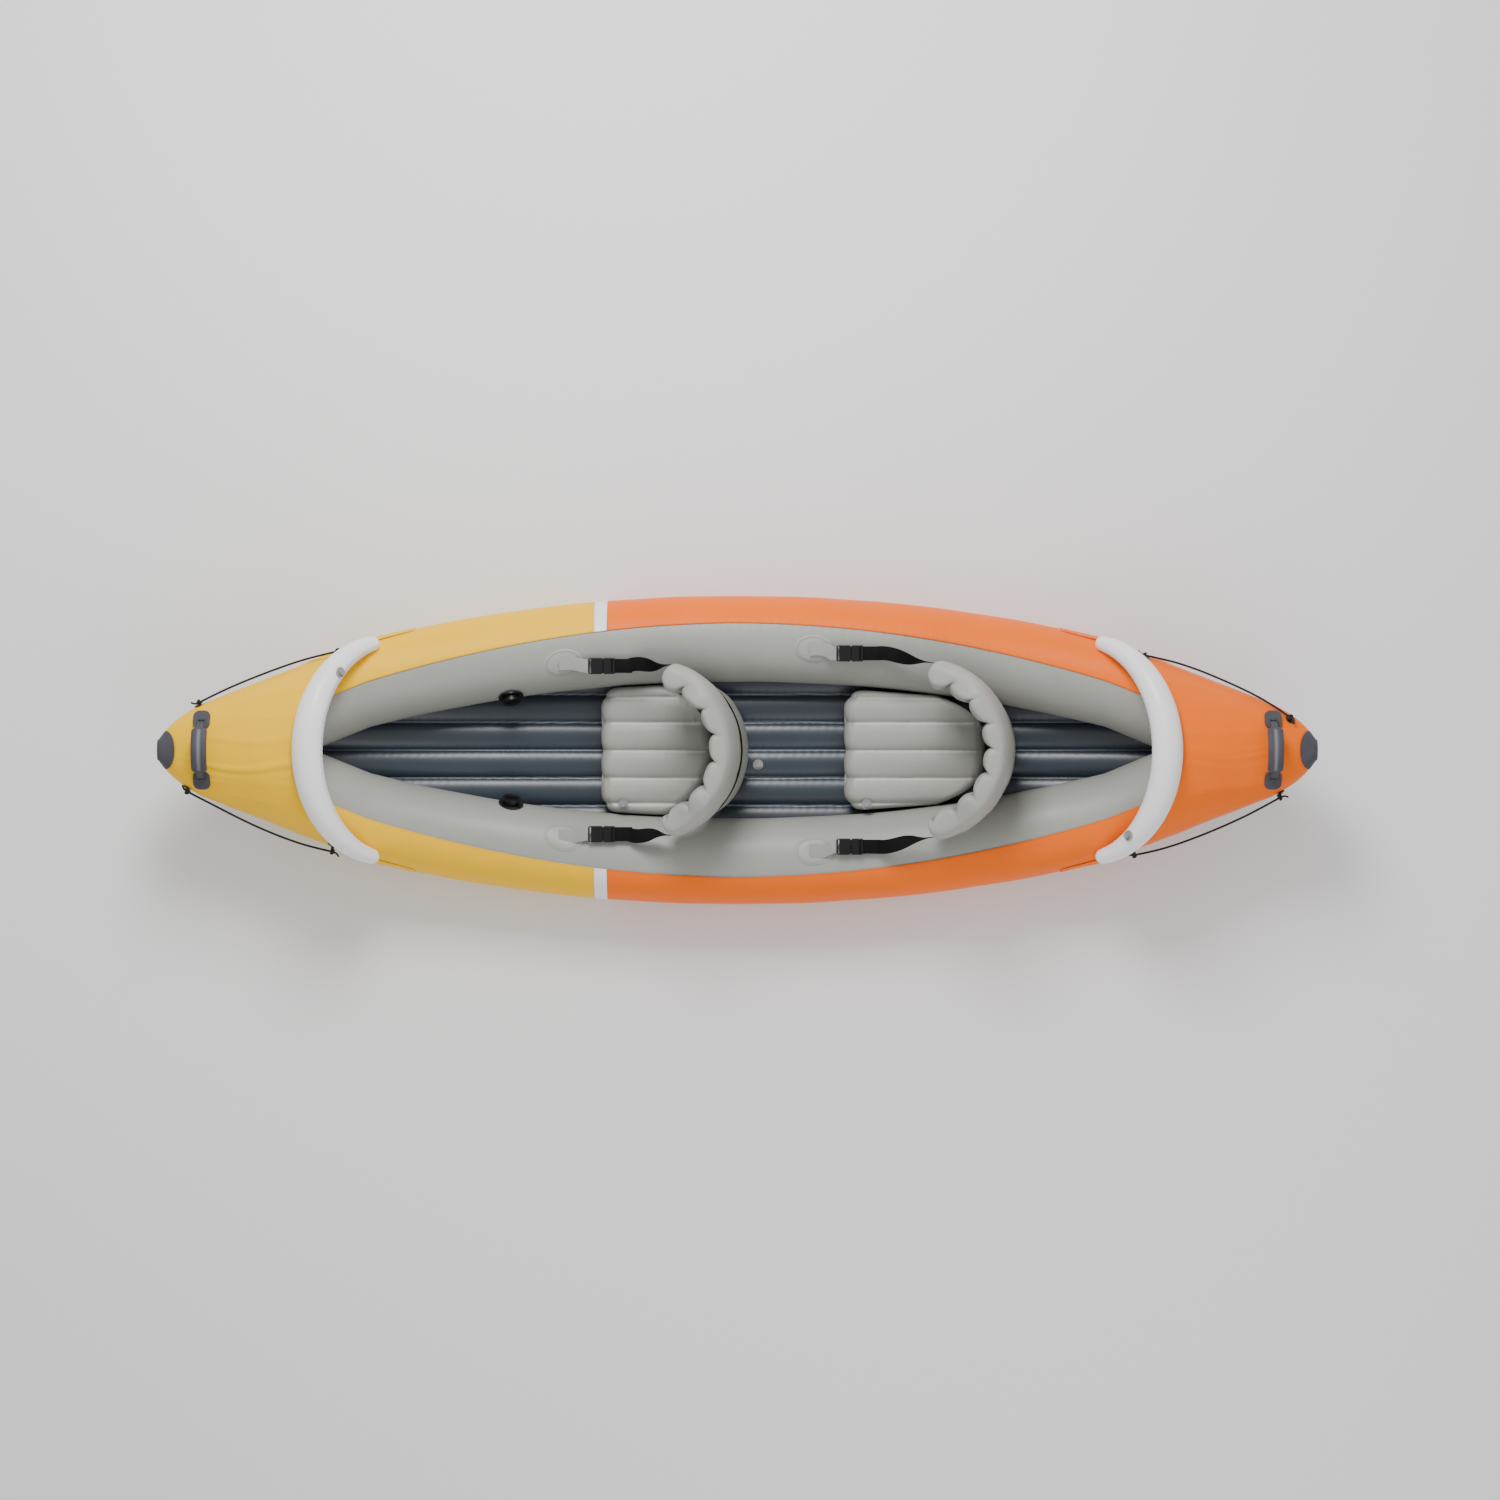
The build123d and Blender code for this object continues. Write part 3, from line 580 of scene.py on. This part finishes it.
def rim_station(y):
    """Where the deck's cockpit edge lies at a distance from the centre line."""
    y = abs(y)
    radius, _ = arc(RIM_FOOT.y, RIM_CROWN - RIM_FOOT.x)
    if y < RIM_FOOT.y:
        return RIM_CROWN - radius + sqrt(radius**2 - y * y)
    along = min(1, (y - RIM_FOOT.y) / (FLAP_TIP.y - RIM_FOOT.y))
    return RIM_FOOT.x + along * (FLAP_TIP.x - RIM_FOOT.x)


def deck_point(x, turn, lift):
    """Across and up at a station, the turn running from starboard over the ridge to port."""
    across = half_beam(x) + 0.0025 + lift
    rise = ridge(x) - chamber_z(x) - 0.0015 + lift
    return across * cos(turn), chamber_z(x) + rise * sin(turn)


def edge_station(turn):
    """Where a line along the deck meets the cockpit edge, by halving."""
    low, high = 0.870, TIP_STATION
    for _ in range(30):
        x = (low + high) / 2
        y, _ = deck_point(x, turn, 0)
        if x < rim_station(y):
            low = x
        else:
            high = x
    return (low + high) / 2


def make_deck(end_name, end, material, slot):
    rng = random.Random(7 if end < 0 else 19)
    pulls = [(rng.uniform(0.1, pi - 0.1), rng.uniform(0.03, 0.07), rng.uniform(0.5, 1.0)) for _ in range(16)]
    rows, seam_and_light_marks = [], []
    for turn in span(0.0, pi, 121):
        edge = edge_station(turn)
        row, marks = [], []
        for u in span(0, 1, 70):
            x = DECK_TIP + (edge - DECK_TIP) * u
            slack = smooth(u * 1.5) * smooth((1 - u) * 10 + 0.25)
            fold = sum(
                size * exp(-((turn - at - 0.10 * sin(5 * u + at * 3)) / wide) ** 2)
                for at, wide, size in pulls
            )
            lift = 0.0022 * slack * (fold - 0.5) + 0.0010 * slack * ripple(x + 0.05 * turn, 1.1, 0.19)
            lift += 0.0009 * smooth((u - 0.86) / 0.14) * ripple(turn * 0.25, 2.0, 0.022)
            y, z = deck_point(x, turn, max(-0.0012, lift))
            row.append((end * x, y, z))
            marks.append(0.75 if 0.965 < u < 0.975 else 0.0)
        rows.append(row)
        seam_and_light_marks.append(marks)
    deck = sheet_grid(f"{end_name} deck", rows, material, "hull", 0.0012, seam_and_light_marks, outward=(0, 0, 1),
                      slot=slot, stands_for=(f"{end_name}_deck",))


ARCH_FOOT, ARCH_CROWN = Vector((0.990, 0.288, 0.266)), Vector((1.151, 0, 0.432))
ARCH_END_RADIUS, ARCH_MIDDLE_RADIUS = 0.021, 0.042


def arch_frame(end, t):
    """Centre, way along, and the arch's own two cross directions, t from port to starboard."""
    rise = Vector((end * (ARCH_CROWN.x - ARCH_FOOT.x), 0, ARCH_CROWN.z - ARCH_FOOT.z))
    height = rise.length
    rise.normalize()
    radius, half_angle = arc(ARCH_FOOT.y, height)
    turn = half_angle * (2 * t - 1)
    centre = Vector((end * ARCH_FOOT.x, 0, ARCH_FOOT.z)) + rise * (height - radius)
    out = rise * cos(turn) + Vector((0, 1, 0)) * sin(turn)
    along = rise * -sin(turn) + Vector((0, 1, 0)) * cos(turn)
    return centre + out * radius, along, out, along.cross(out)


def arch_radius(t):
    return ARCH_END_RADIUS + (ARCH_MIDDLE_RADIUS - ARCH_END_RADIUS) * sin(pi * t)


def make_arch(end_name, end):
    """A bent tube that tapers to two round ends."""
    rings, seam_and_light_marks = [], []
    steps = [("cap", a) for a in span(-88, -10, 8)] + [("run", t) for t in span(0, 1, 170)]
    steps += [("cap", a) for a in span(10, 88, 8)]
    for kind, value in steps:
        t = value if kind == "run" else (0 if value < 0 else 1)
        centre, along, out, other = arch_frame(end, t)
        size = arch_radius(t)
        if kind == "cap":
            centre = centre + along * (size * sin(radians(value)))
            size *= cos(radians(value))
        ring, marks = [], []
        for k in range(40):
            angle = 2 * pi * k / 40
            inner = (1 - cos(angle)) / 2
            fold = 0.0010 * inner**2 * ripple(t, 1.3 + end, 0.021) if kind == "run" else 0
            weld = exp(-(((angle - 1.9) / 0.07) ** 2))
            reach = size - 0.0004 + fold + 0.0012 * weld * (1 if kind == "run" else 0)
            ring.append(centre + out * (reach * cos(angle)) + other * (reach * sin(angle)))
            # A darker line along the weld: partly the weld itself, partly painted shadow along the arch's
            # inner edge.
            marks.append(0.8 * weld)
        rings.append(ring)
        seam_and_light_marks.append(marks)
    loft(f"{end_name} arch", rings, white_skin, "hull", seam_and_light_marks, slot="white_pvc",
         stands_for=(f"{end_name}_splash_arch",))


def make_nose(end_name, end):
    """A tough oval patch wrapped over the tip."""
    rows, seam_and_light_marks = [], []
    for u in span(-1, 1, 41):
        row, marks = [], []
        for v in span(-1, 1, 41):
            # a square of points pressed into an oval
            a, b = u * sqrt(1 - v * v / 2), v * sqrt(1 - u * u / 2)
            along = 1.5385 + 0.0265 * b
            reach = half_beam(min(along, 1.5555)) + 0.0035
            over = max(0, abs(0.051 * a) - 0.97 * reach)
            y = max(-0.97 * reach, min(0.97 * reach, 0.051 * a))
            wrap = max(0, (along - 1.548) / 0.017)
            x = min(along, 1.548) + 0.0135 * sin(wrap * pi / 2)
            z = deck_z(min(along, 1.550), y, 0.0035) + 0.0022 - over - 0.022 * wrap**2
            row.append((end * x, y, z))
            marks.append(0.5 if a * a + b * b > 0.80 else 0.0)
        rows.append(row)
        seam_and_light_marks.append(marks)
    sheet_grid(f"{end_name} nose patch", rows, dark_rubber, "hull", 0.0014, seam_and_light_marks, outward=(0, 0, 1),
               slot="dark_grey_rubber")
    give(f"{end_name}_nose_patch", dark_rubber)


make_deck("bow", -1, yellow_skin, "yellow_pvc")
make_deck("stern", 1, orange_skin, "orange_pvc")
for end_name, end in ENDS.items():
    make_arch(end_name, end)
    make_nose(end_name, end)


# --- Seats ----------------------------------------------------------------------------------
SEAM_DROP = 0.004  # how far the backrest's hinge seam hangs below it
WALL = 0.065
STRAP_LIFT = 0.0016  # how far the middle of a strap stands off the padding
SEATS = {
    # cushion edges; backrest's rearmost station, half width, forward reach and lean; the wings'
    # underside, the half width that stands on the floor, segments and the strap's height
    "front": dict(front=-0.373, rear=-0.066, apex=0.040, wing=0.229, reach=0.190, lean=0.155,
                  wing_bottom=0.262, low=0.150, segments=7, band=0.287, swept=2.2),
    "rear": dict(front=0.291, rear=0.676, apex=0.768, wing=0.234, reach=0.216, lean=0.130,
                 wing_bottom=0.275, low=0.104, segments=8, band=0.299, swept=3.2),
}
SEAT_WELDS = (-0.145, -CHANNEL, 0, CHANNEL, 0.145)
CORNER_ROUND, REAR_SWEEP, END_ROUND, FLANK_ROUND = 0.050, 0.130, 0.034, 0.030
WIDEST_REAR = 0.179


def cushion_half(x):
    return chamber_y(x) - chamber_radius(x) - 0.003


def seat_weld(y):
    """1 on a cushion's weld, falling to 0 half a channel away."""
    return max(0, 1 - min(abs(y - weld) for weld in SEAT_WELDS) / (CHANNEL / 2))


def cushion_steps():
    """Parts of the cushion's length, close together at both ends."""
    eased = [0.10 * (0.5 - 0.5 * cos(a)) for a in span(0, pi, 24)]
    return sorted(eased[:12] + span(0.052, 0.948, 70) + [0.90 + step for step in eased[12:]])


def make_cushion(seat, form):
    low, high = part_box(f"{seat}_seat_cushion")
    middle, thick = (low.z + high.z) / 2, (high.z - low.z) / 2 - 0.001
    front, rear = form["front"], form["rear"]
    corner_half = min(cushion_half(rear - 0.133), WIDEST_REAR)
    rings, seam_and_light_marks = [], []
    for u in cushion_steps():
        upper, lower, marks = [], [], []
        for v in span(-1, 1, 121):
            edge = 1 - abs(v)
            fore = front + CORNER_ROUND * (1 - sqrt(1 - max(0, (abs(v) - 0.72) / 0.28) ** 2))
            aft = rear - REAR_SWEEP * abs(v) ** form["swept"]
            half = corner_half + (cushion_half(front) - corner_half) * (1 - u) * 0.6
            y = v * half
            weld = seat_weld(y)
            fore += 0.009 * weld**3
            x = fore + u * (aft - fore)
            from_end = min(x - fore, aft - x)
            full = sqrt(max(0.0009, 1 - (1 - min(1, from_end / END_ROUND)) ** 2))
            flank = sqrt(max(0.0009, 1 - (1 - min(1, edge * half / FLANK_ROUND)) ** 2))
            crown = sqrt(max(0, 1 - (0.985 * weld) ** 2))
            rise = (0.58 + 0.42 * crown) * full * (0.18 + 0.82 * flank)
            pull = exp(-from_end / 0.035)
            fold = 0.0030 * weld**2 * pull * ripple(x, round(y / CHANNEL) * 2.1, 0.017)
            fold += 0.0007 * weld**3 * ripple(x, round(y / CHANNEL) * 1.3, 0.030)
            upper.append((x, y, middle + thick * rise + fold * full * flank))
            lower.append((x, y, middle - thick * (0.85 + 0.15 * crown) * full * (0.18 + 0.82 * flank)))
            # A pale line just to port of each weld, on the flank that faces the key light: painted
            # highlight.
            lit = max(exp(-(((y - line + 0.0045) / 0.0028) ** 2)) for line in SEAT_WELDS)
            marks.append(lit * 0.9 if 0.020 < from_end and edge > 0.06 else 0)
        rings.append(upper + lower[::-1])
        seam_and_light_marks.append(marks + [0] * len(marks))
    piece = loft(f"{seat} cushion", rings, cushion_skin, "hull", seam_and_light_marks, slot="seat_pvc",
                 stands_for=(f"{seat}_seat_cushion",))


def make_backrest(seat, form):
    """A curved wall of upright blown-up segments, with wings over the side chambers."""
    low_box, high_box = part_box(f"{seat}_backrest")
    base, top = low_box.z + SEAM_DROP, high_box.z
    wing, low = form["wing"], form["low"]
    radius, half_turn = arc(wing, form["reach"])
    rng = random.Random(len(seat) + form["segments"])
    tilts = [rng.uniform(-0.3, 0.3) for _ in range(form["segments"] + 2)]
    depths = [rng.uniform(0.65, 1.15) for _ in range(form["segments"] + 2)]
    rings, seam_and_light_marks = [], []
    for u in span(-1, 1, 230):
        edge = sqrt(max(0.0004, 1 - max(0, (abs(u) - 0.90) / 0.10) ** 2))
        y_here = abs(radius * sin(half_turn * u))
        lift = smooth((y_here - low + 0.015) / (wing - low - 0.012))
        bottom = base + (form["wing_bottom"] - base) * lift
        crown_drop = 0.060 * smooth((y_here - wing + 0.090) / 0.090) ** 1.5
        upper = top - crown_drop - 0.001
        mid_z, half_z = (upper + bottom) / 2, (upper - bottom) / 2
        half_z *= 0.72 + 0.28 * edge
        ring, marks = [], []
        for k in range(88):
            angle = 2 * pi * k / 88
            rise = sin(angle)
            across = squarish(cos(angle), 0.50)
            height = mid_z + half_z * squarish(rise, 0.66)
            inward = smooth((0.55 - across) / 1.1)
            warp = 0.10 * sin(3.1 * u + 1) + 0.16 * across
            seg = (u + 1) / 2 * form["segments"] + warp
            number = min(max(round(seg), 0), form["segments"] + 1)
            seg += 0.25 * tilts[number] * (height - mid_z) / half_z
            gap = abs(seg - round(seg))
            deep_fold = exp(-gap / 0.10) * depths[number] * edge
            swell = sqrt(max(0, 1 - (2 * (0.5 - gap)) ** 2))
            folding = inward * (0.25 + 0.75 * smooth((height - mid_z) / half_z + 0.6))
            skin = WALL / 2 * edge
            band = smooth(1 - abs(height - form["band"]) / 0.045)
            if across < 0:
                reach_out = skin * (0.62 + 0.50 * swell * inward) - 0.014 * deep_fold * folding
            else:
                above = smooth((height - form["band"] - 0.021) / 0.050)
                reach_out = skin * (0.98 + 0.06 * swell) + 0.010 * above * edge - 0.004 * band * edge
                reach_out -= 0.010 * deep_fold * folding
            height -= 0.011 * deep_fold * inward * max(0, rise) ** 2
            fold = 0.0012 * exp(-gap / 0.2) * ripple(height + 0.02 * number, number, 0.034)
            fold += 0.0008 * ripple(height + 0.06 * u, 2.0 + number, 0.055) * inward
            wall_radius = radius - WALL / 2 + (reach_out + fold * edge) * across
            turn = half_turn * u
            x = form["apex"] - radius + wall_radius * cos(turn) - form["lean"] * (height - base)
            ring.append((x, wall_radius * sin(turn), height))
            # Darker lines in the folds between segments, on the inner side: painted shade.
            marks.append(min(1, max(0, (0.020 - gap) / 0.020)) * 0.8 * inward)
        rings.append(ring)
        seam_and_light_marks.append(marks)
    piece = loft(f"{seat} backrest", rings, seat_skin, f"{seat}_backrest", seam_and_light_marks, slot="seat_pvc",
                 stands_for=(f"{seat}_backrest",))


def lean_shift(seat, form):
    """How far forward the backrest's lean carries its strap."""
    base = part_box(f"{seat}_backrest")[0].z + SEAM_DROP
    return form["lean"] * (form["band"] - base)


def make_back_strap(seat, form):
    radius, half_turn = arc(form["wing"], form["reach"])
    outside = radius + STRAP_LIFT
    route = []
    for turn in span(-half_turn, half_turn, 25):
        x = form["apex"] - radius + outside * cos(turn) - lean_shift(seat, form)
        route.append(((x, outside * sin(turn), form["band"]), (-form["lean"], 0, 1)))
    strap, length = ribbon(f"{seat} back strap", route, black_webbing, f"{seat}_backrest",
                           slot="black_webbing", stands_for=(f"{seat}_back_strap",))


for seat, form in SEATS.items():
    make_cushion(seat, form)
    make_backrest(seat, form)
    make_back_strap(seat, form)


# --- Straps, patches and buckles ----------------------------------------------------------------
PLUG_END = 0.0735  # from the buckle's own place to the plug's aft end
PLUG_TRAVEL = 0.034  # room for the plug to slide out under the strap
PATCH_HALF_LENGTH, PATCH_HALF_WIDTH = 0.054, 0.039
STRAP_SETS = {
    # the patch's station and degrees inboard, the buckle's place and the strap's upward bow
    "front": dict(patch=-0.473, inboard=21, buckle=(-0.405, 0.228, 0.243), bow=0.006),
    "rear": dict(patch=0.207, inboard=12, buckle=(0.268, 0.262, 0.249), bow=0.012),
}


def make_patch(seat, side_name, side, rig):
    """An oval patch welded on the chamber, with a raised rim and a raised middle."""
    count, ring_count = 48, 12
    points, marks, faces = [], [], []
    for r in range(ring_count + 1):
        part = r / ring_count
        for k in range(count):
            turn = 2 * pi * k / count
            x = rig["patch"] + PATCH_HALF_LENGTH * part * cos(turn)
            angle = -rig["inboard"] + degrees(PATCH_HALF_WIDTH / CHAMBER_RADIUS) * part * sin(turn)
            lift = 0.0018 + 0.0010 * exp(-(((part - 0.55) / 0.06) ** 2)) - (0.0022 if part > 0.97 else 0)
            points.append(chamber_point(x, side, angle, lift))
            marks.append(0.6 if 0.78 < part < 0.86 else 0.0)
    for r in range(ring_count):
        for k in range(count):
            j = (k + 1) % count
            faces.append((r * count + k, r * count + j, (r + 1) * count + j, (r + 1) * count + k))
    name = f"{seat} {side_name} strap patch"
    piece = finish_mesh(name, points, faces, patch_skin, "hull", marks, slot="grey_pvc",
                        stands_for=(f"{seat}_{side_name}_strap_patch",))
    face_outwards(piece)
    if piece.data.polygons[count * 3].normal.z < 0:
        piece.data.flip_normals()
    bx, by, bz = rig["buckle"]
    root = chamber_point(rig["patch"], side, -rig["inboard"], 0.003)
    start = (root.x - 0.012, root.y, root.z + 0.0010)
    across = (0, 1, 0)
    route = [(start, across), ((root.x + 0.025, root.y, root.z + 0.003), across),
             ((bx - 0.010, side * by, bz + 0.001), across), ((bx + 0.004, side * by, bz + 0.001), across)]
    ribbon(f"{name} tab", route, grey_webbing, "hull", width=0.037, slot="dark_grey_rubber")


def make_side_strap(seat, side_name, side, rig):
    """The strap from a buckle plug to the backrest's wing, with its doubled end in the plug."""
    bx, by, bz = rig["buckle"]
    plug, form = f"{seat}_{side_name}_buckle_plug", SEATS[seat]
    fold = [((bx + PLUG_END - 0.014 + 0.012 * i, side * by, bz + 0.0020), (0, 1, 0)) for i in range(6)]
    doubled, _ = ribbon(f"{seat} {side_name} strap fold", fold, black_webbing, plug, slot="black_webbing")
    start = Vector((bx + PLUG_END + PLUG_TRAVEL, side * by, bz - 0.0012))
    end = Vector((
        form["apex"] - form["reach"] - lean_shift(seat, form),
        side * (form["wing"] + STRAP_LIFT), form["band"],
    ))
    route = []
    for t in span(0, 1, 9):
        turn = radians(90) * smooth((t - 0.25) * 1.4)
        point = start.lerp(end, t)
        point.z += rig["bow"] * sin(pi * t) * (1 if side > 0 else 1.8)
        point.y += side * 0.006 * sin(2 * pi * t) * (1 - t)
        route.append((tuple(point), (0, cos(turn), sin(turn) * side)))
    strap, length = ribbon(f"{seat} {side_name} strap", route, black_webbing, None, slot="black_webbing",
                           stands_for=(f"{seat}_{side_name}_side_strap",))
    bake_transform(strap)


for seat, rig in STRAP_SETS.items():
    for side_name, side in SIDES.items():
        make_patch(seat, side_name, side, rig)
        make_side_strap(seat, side_name, side, rig)


# --- Carry handles ----------------------------------------------------------------------------------
HANDLE_STATION = 1.440
GRIP_HALF_SPAN, GRIP_RISE, GRIP = 0.0775, 0.065, 0.013
PIN_HEIGHT = deck_z(HANDLE_STATION, 0.070) + 0.020
EYE_OFFSET = 0.071


def make_grip(end_name, end):
    """A moulded strap handle: wide and grooved in the middle, necked to an eye at each end."""
    radius, half_turn = arc(GRIP_HALF_SPAN, GRIP_RISE)
    rings, seam_and_light_marks = [], []
    for u in span(-0.985, 0.985, 90):
        turn = half_turn * u
        centre_z = PIN_HEIGHT + GRIP_RISE - radius
        wide = 0.0092 + 0.0120 * smooth((0.70 - abs(u)) / 0.14)
        ring, marks = [], []
        for k in range(48):
            angle = 2 * pi * k / 48
            a, b = squarish(cos(angle), 0.6), squarish(sin(angle), 0.6)
            groove = exp(-((a / 0.24) ** 4)) * smooth((0.60 - abs(u)) / 0.06)
            rib = 0.0004 * sin(u * 110) * smooth((0.62 - abs(u)) / 0.1)
            deep = GRIP / 2 * b * (1 - 0.36 * groove) + rib * b
            reach = radius - GRIP / 2 + deep
            ring.append((end * HANDLE_STATION + wide * a, reach * sin(turn), centre_z + reach * cos(turn)))
            marks.append(groove if b > 0 else 0)
        rings.append(ring)
        seam_and_light_marks.append(marks)
    loft(f"{end_name} grip", rings, grip_rubber, f"{end_name}_handle", seam_and_light_marks, slot="dark_grey_rubber",
         stands_for=(f"{end_name}_handle_grip",))
    for side_name, side in SIDES.items():
        place = (end * HANDLE_STATION, side * EYE_OFFSET, PIN_HEIGHT)
        bpy.ops.object.select_all(action="DESELECT")
        bpy.ops.mesh.primitive_torus_add(
            align="WORLD", location=place, rotation=(pi / 2, 0, 0),
            major_radius=0.0057, minor_radius=0.0022, major_segments=40, minor_segments=14,
        )
        eye = bpy.context.object
        eye.name = f"{end_name}_{side_name}_grip_eye"
        bpy.ops.transform.resize(value=(1, 3.6, 1), center_override=place)
        bpy.ops.object.transform_apply(location=True, rotation=True, scale=True)
        bpy.ops.object.shade_smooth()
        eye.data.materials.append(dark_rubber)
        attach(eye, f"{end_name}_handle")


for end_name, end in ENDS.items():
    make_grip(end_name, end)
give("handle_anchor_pads", dark_rubber)
for seat in SEATS:
    for side_name in SIDES:
        give(f"{seat}_{side_name}_buckle_socket", black_nylon)
        give(f"{seat}_{side_name}_buckle_plug", black_nylon)
for side_name in SIDES:
    give(f"{side_name}_valve_body", black_nylon)
    give(f"{side_name}_valve_cap", black_nylon)
for node in nodes:
    if "valve" in node and not node.startswith(("port_", "starboard_")):
        give(node, grey_vinyl)
give("grab_line_eyelets", black_nylon)


# --- Grab lines ------------------------------------------------------------------------------------
LINE_DIAMETER = 0.006
STRAND = 0.0026  # radius of the line where it is knotted or cut
KNOT_STEPS = 72
UP = Vector((0, 0, 1))
GRAB_LINES = {
    "bow_starboard": [
        (-1.452, 0.128, 0.319), (-1.395, 0.158, 0.301), (-1.330, 0.187, 0.287), (-1.262, 0.214, 0.278),
        (-1.195, 0.238, 0.276), (-1.134, 0.255, 0.280), (-1.080, 0.267, 0.290),
    ],
    "bow_port": [
        (-1.483, -0.112, 0.328), (-1.425, -0.143, 0.308), (-1.362, -0.177, 0.292), (-1.297, -0.209, 0.281),
        (-1.230, -0.237, 0.275), (-1.160, -0.261, 0.276), (-1.095, -0.275, 0.287),
    ],
    "stern_starboard": [
        (1.487, 0.088, 0.362), (1.432, 0.128, 0.336), (1.370, 0.162, 0.312), (1.303, 0.193, 0.293),
        (1.236, 0.221, 0.281), (1.166, 0.243, 0.281), (1.100, 0.256, 0.298),
    ],
    "stern_port": [
        (1.464, -0.128, 0.320), (1.400, -0.165, 0.300), (1.335, -0.197, 0.285), (1.268, -0.226, 0.276),
        (1.200, -0.252, 0.272), (1.132, -0.273, 0.278), (1.072, -0.284, 0.294),
    ],
}


def strand_ring(point, wide, high, count):
    turns = [2 * pi * k / count for k in range(count)]
    return [point + (wide * cos(turn) + high * sin(turn)) * STRAND for turn in turns]


def make_knot(name, centre, along):
    """An overhand knot: a trefoil pulled tight round the line."""
    along = Vector(along).normalized()
    side_way = along.cross(UP).normalized()
    up = side_way.cross(along)
    trefoil = []
    for i in range(KNOT_STEPS + 1):
        t = 2 * pi * i / KNOT_STEPS
        a = 0.0023 * (sin(t) + 2 * sin(2 * t))
        b = 0.0023 * (cos(t) - 2 * cos(2 * t))
        c = -0.0034 * sin(3 * t)
        trefoil.append(Vector(centre) + side_way * a + up * b + along * c)
    rings = []
    for i, point in enumerate(trefoil):
        ahead = (trefoil[(i + 1) % KNOT_STEPS] - trefoil[(i - 1) % KNOT_STEPS]).normalized()
        wide = ahead.cross(along).normalized()
        rings.append(strand_ring(point, wide, wide.cross(ahead), 8))
    return loft(name, rings, black_rope, "hull", slot="black_rope", caps=False)


def make_tail(name, start, way):
    """The short cut end of a line beyond its knot."""
    start, way = Vector(start), Vector(way).normalized()
    bend = way.cross(UP).normalized()
    line = smooth_line([
        start + way * 0.004, start + way * 0.013 + bend * 0.003,
        start + way * 0.020 + bend * 0.010 - UP * 0.002,
    ], 8)
    rings = []
    for i, point in enumerate(line):
        ahead = (line[min(i + 1, len(line) - 1)] - line[max(i - 1, 0)]).normalized()
        wide = ahead.cross(UP).normalized()
        rings.append(strand_ring(point, wide, wide.cross(ahead), 10))
    return loft(name, rings, black_rope, "hull", slot="black_rope")


def make_line(name, route):
    curve = bpy.data.curves.new(f"{name}_line", "CURVE")
    curve.dimensions = "3D"
    spline = curve.splines.new("NURBS")
    spline.points.add(len(route) - 1)
    for place, point in zip(spline.points, route):
        place.co = (*point, 1)
    spline.order_u = 3
    spline.use_endpoint_u = True
    curve.bevel_depth = LINE_DIAMETER / 2
    curve.bevel_resolution = 4
    curve.resolution_u = 16
    curve.use_fill_caps = True
    line = bpy.data.objects.new(f"{name}_line", curve)
    line.data.materials.append(black_rope)
    bpy.context.scene.collection.objects.link(line)
    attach(line, "hull")
    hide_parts(f"{name}_grab_line")
    ends = []
    for tag, here, there in (("fore", route[0], route[1]), ("aft", route[-1], route[-2])):
        way = Vector(here) - Vector(there)
        ends += [make_knot(f"{name} {tag} knot", here, way), make_tail(f"{name} {tag} tail", here, way)]
    return ends


knots = [piece for name, route in GRAB_LINES.items() for piece in make_line(name, route)]
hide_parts("grab_line_knots")


# --- Studio ----------------------------------------------------------------------------------------
bpy.ops.mesh.primitive_plane_add(size=30, location=(0, 0, -0.0005))
ground = bpy.context.object
ground.name = "studio_floor"
ground_paint = Paint("studio floor", Roughness=0.9)
ground_paint.shader.inputs["Base Color"].default_value = (0.86, 0.86, 0.86, 1)
ground.data.materials.append(ground_paint.material)

world = bpy.data.worlds.new("studio")
world.use_nodes = True
backdrop = world.node_tree.nodes["Background"]
backdrop.inputs["Color"].default_value = (1, 1, 1, 1)
backdrop.inputs["Strength"].default_value = 0.75
bpy.context.scene.world = world


def soft_light(name, place, size, power):
    light = bpy.data.lights.new(name, "AREA")
    light.size = size
    light.energy = power
    lamp = bpy.data.objects.new(name, light)
    bpy.context.scene.collection.objects.link(lamp)
    lamp.location = place
    lamp.rotation_euler = (Vector((0, 0, 0.2)) - Vector(place)).to_track_quat("-Z", "Y").to_euler()


soft_light("key", (-0.5, 3.2, 3.6), 1.8, 210)
soft_light("fill", (1.5, -3.0, 3.6), 3.0, 45)

CAMERA_HEIGHT, RIM_HEIGHT = 14.0, 0.25
FRAME_WIDTH = 4.066  # what the picture spans at the height of the rim
SENSOR = 36
camera = bpy.data.cameras.new("camera")
camera.sensor_width = SENSOR
camera.lens = SENSOR * (CAMERA_HEIGHT - RIM_HEIGHT) / FRAME_WIDTH
camera.clip_end = 60
eye = bpy.data.objects.new("camera", camera)
bpy.context.scene.collection.objects.link(eye)
eye.location = (0.034, 0, CAMERA_HEIGHT)
bpy.context.scene.camera = eye
